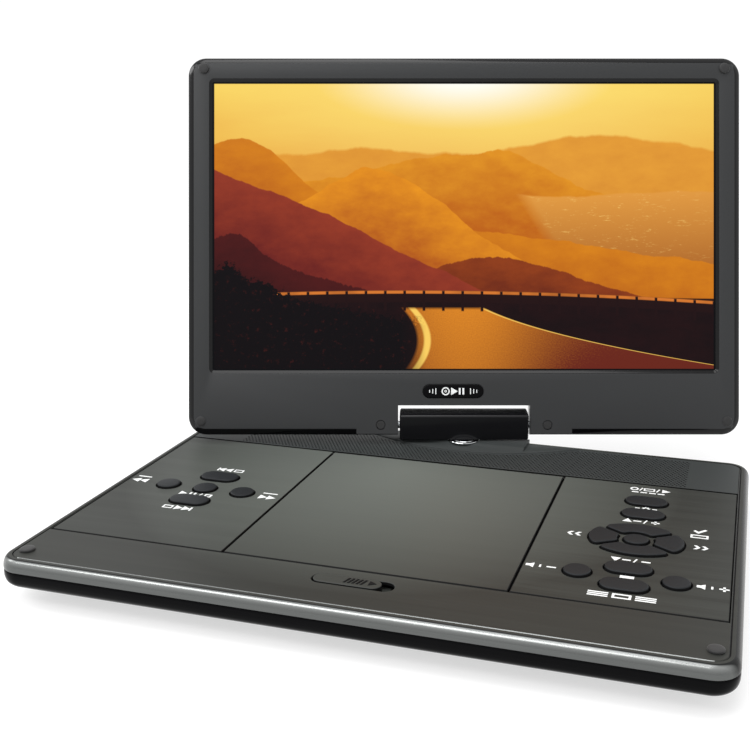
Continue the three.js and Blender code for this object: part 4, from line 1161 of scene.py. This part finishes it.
def strip_holes():
    """The rows of sound holes, left clear of the apron."""
    holes = []
    row = 0
    y = GRILLE_Y[0] + 3.2
    while y < GRILLE_Y[1] - 2.4:
        x = -131.0 + (HOLE_PITCH / 2 if row % 2 else 0)
        while x < 136:
            if math.hypot(x, y - APRON_MIDDLE) > APRON_RADIUS + 2.2:
                holes.append(circle(HOLE, x, y, 8, math.pi / 8))
            x += HOLE_PITCH
        y += HOLE_ROW
        row += 1
    return holes


strip = Form().plate(strip_loop(), strip_holes(), PLATE_LOW, DECK_TOP)
# The strip's outer walls and the walls of its sound holes get the painted shade.
strip_extras = {"sharp": 50, "trims": [(PAINTED_SHADE_AND_RIDGE_LOOK, is_side)]}
piece("speaker_strip", strip, GRILLE_LOOK, "base", "grille_plastic", ["speaker_grille"], **strip_extras)
cloth = Form().box((-149, 149), (GRILLE_Y[0] + 4.4, GRILLE_Y[1] - 4.4), (19.6, 19.9))
cloth = combine(as_object("speaker_cloth", cloth), [Form().lathe([(10, 18), (10, 21)], 0, SWIVEL_Y)])
piece("speaker_cloth", cloth, CLOTH_LOOK, "base", "inner_plastic")

apron_side = ((0, PLATE_LOW), (0, DECK_TOP + 0.1), (-0.12, DECK_TOP + 0.35), (-0.45, DECK_TOP + 0.5))
apron = Form().skin([lift(offset(apron_loop(0), by), z) for by, z in apron_side])
apron = as_object("hinge_apron", apron)
ramp = [(98.2, PLATE_LOW), (119.2, PLATE_LOW), (119.2, 23.4), (118.9, 23.8), (118.4, 24), (102.6, 24)]
ramp += [(101.6, 23.86), (98.5, 22.35), (98.2, 22.3)]
combine(apron, [Form().along_x(ramp, (-39, 39))], "UNION")
recess = Form().lathe([(10.3, 23.2), (10.3, 25)], 0, SWIVEL_Y)
stem_hole = Form().lathe([(6.3, 18), (6.3, 24)], 0, SWIVEL_Y)
combine(apron, [recess, stem_hole])
piece("hinge_apron", apron, GRILLE_LOOK, "base", "grille_plastic", ["hinge_platform"])

DOT_DOME = [(3.6, 22.3), (3.6, 22.8), (3.45, 23.1), (3.1, 23.3), (2.5, 23.4), (1.2, 23.45), (0.01, 23.45)]
for where, side in SIDES:
    dot = Form().lathe(DOT_DOME, side * 158.8, -106.6, 48)
    piece(f"front_dot_{where}", dot, RUBBER_LOOK, "base", "rubber", [f"base_bumper_{where}"])

# ---------------------------------------------------------------- base: disc drive
tray = as_object("well_tray", Form().slab(73.1, 72.5, 1.2, [(0, 12.4), (0, 19.2), (0.3, 19.5)], 0, -5.15, 3))
well = [(62.5, 13.6), (62.5, 19.2), (62.9, 21)]
finger_dip = [(15, 15.2), (15, 19), (15.5, 20)]
hollow = as_object("hollow", Form().slab(71.3, 70.7, 1, [(0, 10), (0, 17.7)], 0, -5.15, 3))
combine(hollow, [Form().lathe([(64.1, 9), (64.1, 19)], 0, WELL_Y, 96)])
combine(
    tray,
    [
        Form().lathe(well, 0, WELL_Y, 128),
        Form().lathe([(15, 10), (15, 14)], 0, WELL_Y, 64),
        Form().slab(12, 25, 2, [(0, 10), (0, 15)], 0, WELL_Y - 37, 6),
        Form().lathe(finger_dip, 50, WELL_Y - 50, 48),
        Form().lathe(finger_dip, -50, WELL_Y - 50, 48),
    ],
)
combine(tray, [hollow])
bosses = []
bores = []
for x in (-20, 20):
    for ys in ((WELL_Y - 72, WELL_Y - 68), (WELL_Y - 15.6, WELL_Y - 10)):
        bosses.append(Form().box((x - 3.5, x + 3.5), ys, (5.6, 13), 0.4))
    rail_hole = circle(1.8, 0, 0, 24)
    ends = (WELL_Y - 71.3, WELL_Y - 10.7)
    bores.append(Form().skin([[(x + px, y, 8.5 + pz) for px, pz in rail_hole] for y in ends]))
combine(tray, bosses, "UNION")
combine(tray, bores)
piece("well_tray", tray, INNER_LOOK, "base", "inner_plastic", ["drive_deck"])

hub_profile = [(0.01, 6), (1.2, 6), (1.2, 12.9), (13.8, 12.9), (14, 13.1), (14, 14.2), (13.8, 14.4)]
hub_profile += [(11, 14.4), (10.8, 14.1), (9, 14.1), (8.8, 14.4), (7.3, 14.4), (7.3, 17), (7.1, 17.5)]
hub_profile += [(6.7, 17.9), (5.6, 18.3), (4.6, 18.6), (2.4, 18.6), (2.2, 18.2), (0.01, 18.2)]
hub = Form().lathe(hub_profile, 0, WELL_Y, 72)
for third in range(3):
    angle = third * 2 * math.pi / 3
    x, y = 6.4 * math.cos(angle), WELL_Y + 6.4 * math.sin(angle)
    arcs = [math.pi * (i / 10 - 0.5) for i in range(11)]
    hub.lathe([(max(1.2 * math.cos(a), 0.01), 16.4 + 1.2 * math.sin(a)) for a in arcs], x, y, 20)
piece("spindle_hub", hub, HUB_LOOK, "hub", "hub_plastic", ["disc_hub"])

EYE_Y = WELL_Y - 26
eye_profile = [(3.4, 13.5), (3.4, 14.0), (3.1, 14.2), (2.5, 14.25), (1.4, 14.37), (0.01, 14.4)]
eye = Form().lathe(eye_profile, 0, EYE_Y, 48)
piece("laser_eye", eye, LENS_LOOK, "sled", "lens_glass", ["pickup_lens"])
collar_profile = [(4.6, 13.2), (4.6, 13.9), (4.4, 14.1), (3.8, 14.1), (3.6, 13.9), (3.6, 13.2)]
collar_rings = [lift(circle(radius, 0, EYE_Y, 48), z) for radius, z in collar_profile]
piece("eye_collar", Form().skin(collar_rings, closed=True), STEEL_LOOK, "sled", "steel")


# ---------------------------------------------------------------- swivel and hinge block
def shaft_way(reach, y=SHAFT_Y, z=SHAFT_Z):
    """The bore that the tilt shaft runs in."""
    return Form().skin([ring_x(x, SHAFT_BORE, y, z) for x in (-reach, reach)])


disc_profile = [(9.3, 23.55), (9.95, 23.6), (10, 23.8), (10, 24.2), (9.85, 24.42), (9.5, 24.5), (8.2, 24.5)]
disc_profile += [(8.0, 24.3), (7.4, 24.3), (7.2, 24.5), (0.01, 24.5)]
swivel_disc = Form().lathe([(0.01, 14), (9, 14), (9, 16), (6, 16), (6, 23.55), *disc_profile], 0, 0, 96)
swivel_disc.box((-7, 7), (-1, 6.5), (24.3, 28), 0.25)
swivel_disc.box((-28, 28), (-1, 8), (26.95, 28.35), 0.3)
for x in (-26, 26):
    swivel_disc.box((x - 1.2, x + 1.2), (-1, 8), (27.2, 36.6), 0.3)
swivel_disc = as_object("swivel_disc", swivel_disc)
combine(swivel_disc, [shaft_way(30)])
piece("swivel_disc", swivel_disc, CHROME_LOOK, "swivel", "chrome", ["swivel_post"], SWIVEL)

block_profile = [(0.5, 24.85), (0.15, 25.0), (0, 25.35), (0, 39.2), *quarter(0, 39.2, 1.2, 1.2, 6)]
block = as_object("hinge_block", Form().slab(39.4, 8, 1.5, block_profile, 0, SHAFT_Y, 6))
block_hollow = Form().box((-37.6, 37.6), (-2.7, 9.7), (26.65, 38.6))
bracket_way = Form().box((-7.3, 7.3), (-1.3, 6.8), (23.8, 28))
combine(block, [block_hollow, bracket_way])
combine(block, [shaft_way(50)])
for x in (-36.2, 36.2):
    outer = Form().slab(0.18, 9, 0.05, [(0, 24), (0, 41)], x, SHAFT_Y, 1)
    core = Form().slab(1, 7.75, 1.3, [(0, 25.1), (0, 40.15)], x, SHAFT_Y, 3)
    ring = combine(as_object("ring", outer), [core])
    combine(block, [ring])
piece("hinge_block", block, HINGE_LOOK, "swivel", "shell_gloss", ["hinge_housing"], SWIVEL)

# ---------------------------------------------------------------- lid
lid_half = (BODY_HALF[0], LID_HEIGHT / 2)
face_edge = [(0, LID_SPLIT + 0.15), *curve([(0, 3.0), (0.5, 4.4), (3, 6.15), (4.4, LID_FRONT)], 5)]


def screen_loop(grow, z):
    half_x, half_y = SCREEN[0] / 2 + grow, SCREEN[1] / 2 + grow
    return lift(outline(half_x, half_y, 1.4 + grow, 0, SCREEN_MIDDLE), z)


def lid_ring(inset, z):
    corner = max(LID_CORNER - inset, LEAST_CORNER)
    return lift(outline(lid_half[0] - inset, lid_half[1] - inset, corner, 0, LID_MIDDLE), z)


screen_edge = ((1.9, LID_FRONT), (1.6, LID_FRONT - 0.1), (0.2, 5.3), (0, 5.2), (0, 3.6), (4, 3.6))
bezel_rings = [lid_ring(inset, z) for inset, z in face_edge]
bezel_rings += [screen_loop(grow, z) for grow, z in screen_edge]
bezel_rings += [lid_ring(WALL, 3.4), lid_ring(WALL, LID_SPLIT + 0.15)]
bezel = as_object("lid_frame", Form().skin(bezel_rings, closed=True))
chin_low = -LID_BELOW + 0.4
combine(bezel, [Form().box((-CHIN, CHIN), (chin_low, 12), (LID_SPLIT + 0.15, LID_FRONT), 0.25)], "UNION")
lid_cuts = [Form().box((-NOTCH[0], NOTCH[0]), (-LID_BELOW - 1, NOTCH[1]), (LID_BACK - 1, LID_FRONT + 1))]
lid_cuts.append(shaft_way(58, 0, 0))
recess = [(0, LID_FRONT - 0.7), (0, LID_FRONT - 0.15), (-0.2, LID_FRONT + 0.05), (-0.2, LID_FRONT + 1)]
badge_x, badge_y, badge_width, badge_depth = BADGE
bezel_cuts = [Form().pill(badge_x, badge_y, badge_width + 0.5, badge_depth + 0.5, recess, 14)]
hole = [(2.85, LID_FRONT - 1), (2.85, LID_FRONT - 0.2), (3.05, LID_FRONT + 0.05), (3.05, LID_FRONT + 1)]
bezel_cuts += [Form().lathe(hole, side * 51, 0.1, 40) for side in (-1, 1)]
combine(bezel, [*lid_cuts, *bezel_cuts])


def is_lid_edge(middle, normal):
    """True on the lid's outer bevel and on the chamfer round the display."""
    inset = min(lid_half[0] - abs(middle.x), lid_half[1] - abs(middle.y - LID_MIDDLE))
    past_x, past_y = abs(middle.x) - SCREEN[0] / 2, abs(middle.y - SCREEN_MIDDLE) - SCREEN[1] / 2
    return (inset < 4.45 or max(past_x, past_y) < 1.95) and normal.z < 0.985


lid_trims = [(EDGE_LOOK, is_lid_edge)]
piece("lid_frame", bezel, LID_LOOK, "lid", "lid_plastic", ["lid_bezel"], LID, trims=lid_trims)

back_edge = curve([(7, LID_BACK), (2.6, LID_BACK + 0.9), (0.6, LID_BACK + 2.8), (0, LID_BACK + 5)], 6)
back_top = LID_SPLIT - 0.15
back_profile = [*back_edge, (0, LID_SPLIT - 0.5), (0.35, back_top), (WALL, back_top), (WALL, LID_BACK + 5)]
back_profile += [(4.6, LID_BACK + 2.9), (9, LID_BACK + 2)]
back = as_object("lid_back", Form().skin([lid_ring(inset, z) for inset, z in back_profile]))
combine(back, [Form().box((-42.4, 42.4), (chin_low, 14), (LID_BACK + 1.5, back_top))], "UNION")
line = groove_frame(155, 101.5, 6, (LID_BACK - 1, LID_BACK + 0.35), LID_MIDDLE, 8)
combine(back, [line, *lid_cuts])
piece("lid_back", back, BACK_LOOK, "lid", "lid_back_gloss", ["lid_back_cover"], LID)

panel_half = (SCREEN[0] / 2 + 3, SCREEN[1] / 2 + 2)
panel_profile = [(0, 1.7), (0, 4.75), (0.15, 4.9)]
display = as_object("display", Form().slab(*panel_half, 1, panel_profile, 0, SCREEN_MIDDLE, 4))
picture_map = display.data.uv_layers.new(name="screen")
for loop in display.data.loops:
    place = display.data.vertices[loop.vertex_index].co
    picture_map.data[loop.index].uv = (place.x / SCREEN[0] + 0.5, (place.y - SCREEN_LOW) / SCREEN[1])
piece("display", display, SCREEN_LOOK, "lid", "screen_glass", ["lcd_panel"], LID)

badge_steps = ((0, -0.4), (0, 0.05), (0.15, 0.2), (0.45, 0.3))
badge = Form().pill(*BADGE, [(inset, LID_FRONT + rise) for inset, rise in badge_steps], 18)
piece("badge", badge, SHELL_LOOK, "lid", "shell_gloss", ["badge_plate"], LID)

# Each row holds a place at the right, a profile, and the start of the CAD node's name if it has one.
LID_ROUNDS = {
    "plug": (51, 0.1, [(2.6, 5.8), (2.6, 6.2), (2.4, 6.38), (1.8, 6.4), (0.01, 6.36)], "hinge_plug"),
    "lid_dot": (
        *(159, 218),
        [(3.2, 6.8), (3.2, 7.3), (3.0, 7.75), (2.5, 8.0), (1.3, 8.1), (0.01, 8.1)],
        "lid_bumper",
    ),
    "lid_stop": (
        *(161, 2.2),
        [(3.0, 5.6), (3.0, 6.7), (2.85, 7.0), (2.4, 7.2), (1.2, 7.3), (0.01, 7.3)],
        None,
    ),
}
for where, side in SIDES:
    for name, (x, y, profile, node) in LID_ROUNDS.items():
        stands_for = [f"{node}_{where}"] if node else ()
        form = Form().lathe(profile, side * x, y, 40)
        piece(f"{name}_{where}", form, RUBBER_LOOK, "lid", "rubber", stands_for, LID)


# ---------------------------------------------------------------- printed marks
def drawn(x, y, points, size=1.0, side=1, turn=0.0):
    """A mark's loop from points in shares of its size, mirrored if side is -1 and turned in degrees."""
    cosine, sine = math.cos(math.radians(turn)), math.sin(math.radians(turn))
    loop = []
    for px, py in points:
        across, up = side * px * size, py * size
        loop.append((x + across * cosine - up * sine, y + across * sine + up * cosine))
    return loop


TRIANGLE = [(0.6, 0), (-0.4, 0.55), (-0.4, -0.55)]
CHEVRON = [(-0.3, -0.5), (0.06, -0.5), (0.444, 0), (0.06, 0.5), (-0.3, 0.5), (0.084, 0)]
HORN = [(-0.5, -0.225), (-0.15, -0.225), (0.25, -0.5), (0.25, 0.5), (-0.15, 0.225), (-0.5, 0.225)]
TICK = [(-0.5, 0.02), (-0.34, 0.18), (-0.12, -0.06), (0.36, 0.46), (0.52, 0.3), (-0.12, -0.4)]
SLASH_TURN = -18


def triangle(x, y, size, turn):
    """A solid triangle that points along an angle in degrees."""
    return [drawn(x, y, TRIANGLE, size, turn=turn)]


def bar(x, y, width, depth, turn=0.0):
    w, d = width / 2, depth / 2
    return [drawn(x, y, [(-w, -d), (w, -d), (w, d), (-w, d)], turn=turn)]


def slash(x, y, depth=4.4):
    return bar(x, y, 0.8, depth, SLASH_TURN)


def hoop(x, y, outer, inner):
    return [circle(outer, x, y, 28), circle(inner, x, y, 28)]


def gear(x, y, size):
    loop = []
    for i in range(32):
        radius = size if i % 4 in (0, 1) else size * 0.74
        angle = 2 * math.pi * (i + 0.5) / 32
        loop.append((x + radius * math.cos(angle), y + radius * math.sin(angle)))
    return [loop, circle(size * 0.36, x, y, 20)]


def frame_mark(x, y, width, depth, line):
    return [*bar(x, y, width, depth), *bar(x, y, width - 2 * line, depth - 2 * line)]


def arrows(x, y, size, turn):
    """A pair of solid triangles that point left or right."""
    return [triangle(x + step * size * 0.98, y, size, turn) for step in (-0.5, 0.5)]


def marks_left():
    yield from arrows(-156.0, -8.4, 4.8, 180)
    yield bar(-156.2, -2.8, 8.0, 1.1)
    x, y = -114.5, 20.2
    yield bar(x - 7.6, y, 1.1, 4.2)
    yield from arrows(x - 3.2, y, 4.6, 180)
    yield frame_mark(x + 5.0, y, 5.6, 3.8, 0.8)
    x, y = -115.4, -18.85
    yield triangle(x - 8.6, y, 4.4, 0)
    yield bar(x - 4.2, y, 1.2, 4.0)
    yield bar(x - 1.6, y, 1.2, 4.0)
    yield slash(x + 1.8, y, 4.0)
    yield frame_mark(x + 6.4, y, 4.2, 3.8, 1.0)
    x = -78.0
    yield bar(x, -6.2, 8.4, 1.1)
    yield from arrows(x, -11.6, 4.8, 0)
    x, y = -115.6, -38.2
    yield frame_mark(x - 6.6, y, 5.6, 3.8, 0.8)
    yield from arrows(x + 1.6, y, 4.6, 0)
    yield bar(x + 6.6, y, 1.1, 4.2)


def marks_right():
    x, y = 117.6, 59.8
    yield hoop(x - 8.4, y, 2.3, 1.3)
    yield slash(x - 4.8, y)
    yield frame_mark(x - 0.4, y, 6.0, 3.8, 0.8)
    yield slash(x + 4.2, y)
    yield triangle(x + 8.2, y, 4.4, 0)
    for i in range(4):
        yield bar(x - 7.6 + i * 4.6, y - 4.6, 3.6, 1.3)
    yield gear(118.0, 32.3, 2.2)
    yield bar(113.6, 32.3, 2.4, 1.1)
    yield bar(122.4, 32.3, 2.4, 1.1)
    for x, y, turn in ((118.0, 14.6, 90), (118.0, -33.2, -90)):
        yield triangle(x - 7.6, y, 4.4, turn)
        yield bar(x - 2.6, y, 4.0, 1.2)
        yield slash(x + 1.4, y)
        yield bar(x + 6.4, y, 4.2, 1.2)
    yield bar(124.4, 14.6, 1.2, 3.8)
    for x, y, side in ((85.6, -9.6, -1), (89.4, -9.6, -1), (145.8, -9.2, 1), (149.6, -9.2, 1)):
        yield [drawn(x, y, CHEVRON, 4.4, side)]
    yield [drawn(146.6, 10.4, TICK, 6.6)]
    yield frame_mark(146.6, 4.0, 8.6, 4.0, 1.0)
    yield bar(117.7, -52.0, 6.4, 3.6)
    x, y = 117.6, -71.2
    for i in range(3):
        yield bar(x - 10.4, y - 1.7 + i * 1.7, 9.0, 1.0)
        yield bar(x + 10.4, y - 1.7 + i * 1.7, 9.0, 1.0)
    yield frame_mark(x, y, 8.4, 4.4, 1.1)
    y = -51.2
    for x, is_plus in ((78.4, False), (155.4, True)):
        yield [drawn(x - 4.6, y, HORN, 5.0)]
        yield bar(x - 0.4, y, 0.9, 2.6)
        yield bar(x + 4.8, y, 4.4, 1.1)
        if is_plus:
            yield bar(x + 4.8, y, 1.1, 4.4)


def marks_badge():
    x, y = badge_x, badge_y
    yield hoop(x - 4.6, y, 2.5, 1.75)
    yield hoop(x - 4.6, y, 0.8, 0.35)
    yield triangle(x + 0.4, y, 4.2, 0)
    yield bar(x + 4.0, y, 1.1, 4.0)
    yield bar(x + 6.2, y, 1.1, 4.0)
    for side in (-1, 1):
        for step in range(3):
            yield bar(x + side * (10.6 + step * 1.9), y, 0.5, 3.6 - step * 0.9)


def right_way(loop):
    """The loop, turned round if it runs clockwise."""
    area = sum(loop[i - 1][0] * p[1] - p[0] * loop[i - 1][1] for i, p in enumerate(loop))
    return loop if area > 0 else loop[::-1]


PRINT_HEIGHT = 0.03
PRINT_LIFT = 0.005


def printed(name, marks, low, body, place=None):
    form = Form()
    for loops in marks:
        outer, *holes = [right_way(loop) for loop in loops]
        form.plate(outer, holes, low, low + PRINT_HEIGHT)
    piece(name, form, INK_LOOK, body, "hub_plastic", place=place)


printed("marks_left", marks_left(), DECK_TOP + PRINT_LIFT, "base")
printed("marks_right", marks_right(), DECK_TOP + PRINT_LIFT, "base")
printed("badge_marks", marks_badge(), LID_FRONT + 0.3 + PRINT_LIFT, "lid", LID)

# ---------------------------------------------------------------- CAD nodes that stay
NODE_LOOKS = (
    (BOARD_LOOK, ("left_key_board", "right_key_board", "main_board")),
    (STEEL_LOOK, ("spindle_motor", "guide_rail_left", "guide_rail_right", "tilt_shaft")),
    (INNER_LOOK, ("pickup_sled", "speaker_left", "speaker_right", *SOCKETS)),
    (CELL_LOOK, ("battery_pack",)),
    (KEY_LOOK, ("power_switch",)),
)
for look, name in [(look, name) for look, names in NODE_LOOKS for name in names]:
    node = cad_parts[name]
    node.data.materials.clear()
    node.data.materials.append(look)
    edges = node.modifiers.new("edges", "BEVEL")
    edges.width = 0.00015
    edges.segments = 2
    edges.limit_method = "ANGLE"

# Metal liners in two of the round sockets, and the contacts in the data socket.
LINER = ((2.6, 167.9), (2.6, 168.3), (2.4, 168.45), (2.0, 168.45), (1.85, 168.3), (1.85, 167.9))
for name in ("av_jack", "headphone_jack"):
    side, y, _, _ = SOCKETS[name]
    rings = [ring_x(side * x, radius, y, SOCKET_Z, 40) for radius, x in LINER]
    piece(f"{name}_ring", Form().skin(rings, closed=True), CHROME_LOOK, "base", "chrome")

contacts = Form()
for i in range(4):
    contacts.box((-166.5, -159.5), (55.6 + i * 2.4, 56.8 + i * 2.4), (13.12, 13.28))
piece("usb_contacts", contacts, GOLD_LOOK, "base", "steel")

# ---------------------------------------------------------------- floor, light and camera
FLOOR_Z = -0.002
floor_corners = lift([(-9, -9), (9, -9), (9, 9), (-9, 9)], FLOOR_Z)
floor_mesh = bpy.data.meshes.new("floor")
floor_mesh.from_pydata(floor_corners, [], [(0, 1, 2, 3)])
floor = bpy.data.objects.new("floor", floor_mesh)
bpy.context.scene.collection.objects.link(floor)
floor_look = Look("floor_white")
paper = floor_look.noise(30.0, 2.0)
floor_look.base(paper, (0.4, 0.4, 0.4, 1.0), (0.42, 0.42, 0.42, 1.0))
floor_look.put(floor_look.shader.inputs["Emission Color"], (1.0, 1.0, 1.0, 1.0))
floor_look.put(floor_look.shader.inputs["Emission Strength"], 0.6)
floor_look.rough(paper * 0.05 + 0.9)
floor_mesh.materials.append(floor_look.material)

world = bpy.data.worlds.new("studio")
bpy.context.scene.world = world
world.use_nodes = True
world.node_tree.nodes["Background"].inputs["Color"].default_value = (1.0, 1.0, 1.0, 1.0)
world.node_tree.nodes["Background"].inputs["Strength"].default_value = 1.05


def softbox(name, place, target, size, power):
    light = bpy.data.lights.new(name, "AREA")
    light.shape = "RECTANGLE"
    light.size, light.size_y = size
    light.energy = power
    lamp = bpy.data.objects.new(name, light)
    lamp.location = place
    lamp.rotation_euler = (Vector(target) - Vector(place)).to_track_quat("-Z", "Y").to_euler()
    bpy.context.scene.collection.objects.link(lamp)


softbox("top_light", (-0.1, -0.15, 1.5), (0, -0.05, 0.05), (1.2, 0.8), 11)
softbox("front_light", (-0.42, -0.95, 1.15), (0, -0.05, 0.05), (1.3, 0.4), 9)
softbox("side_light", (-1.3, -0.1, 0.9), (0, 0, 0.05), (0.5, 0.5), 5)

CAMERA_PLACE = (0.15857, -0.51045, 0.24206)
CAMERA_FORWARD = (-0.284845, 0.920380, -0.267888)
camera_data = bpy.data.cameras.new("camera")
camera_data.sensor_width = 36.0
camera_data.lens = 52.42
camera_data.shift_x = -0.0504
camera_data.clip_start = 0.01
camera_data.clip_end = 50.0
camera = bpy.data.objects.new("camera", camera_data)
camera.location = CAMERA_PLACE
camera.rotation_euler = Vector(CAMERA_FORWARD).to_track_quat("-Z", "Y").to_euler()
bpy.context.scene.collection.objects.link(camera)
bpy.context.scene.camera = camera
bpy.context.scene.view_settings.view_transform = "Standard"
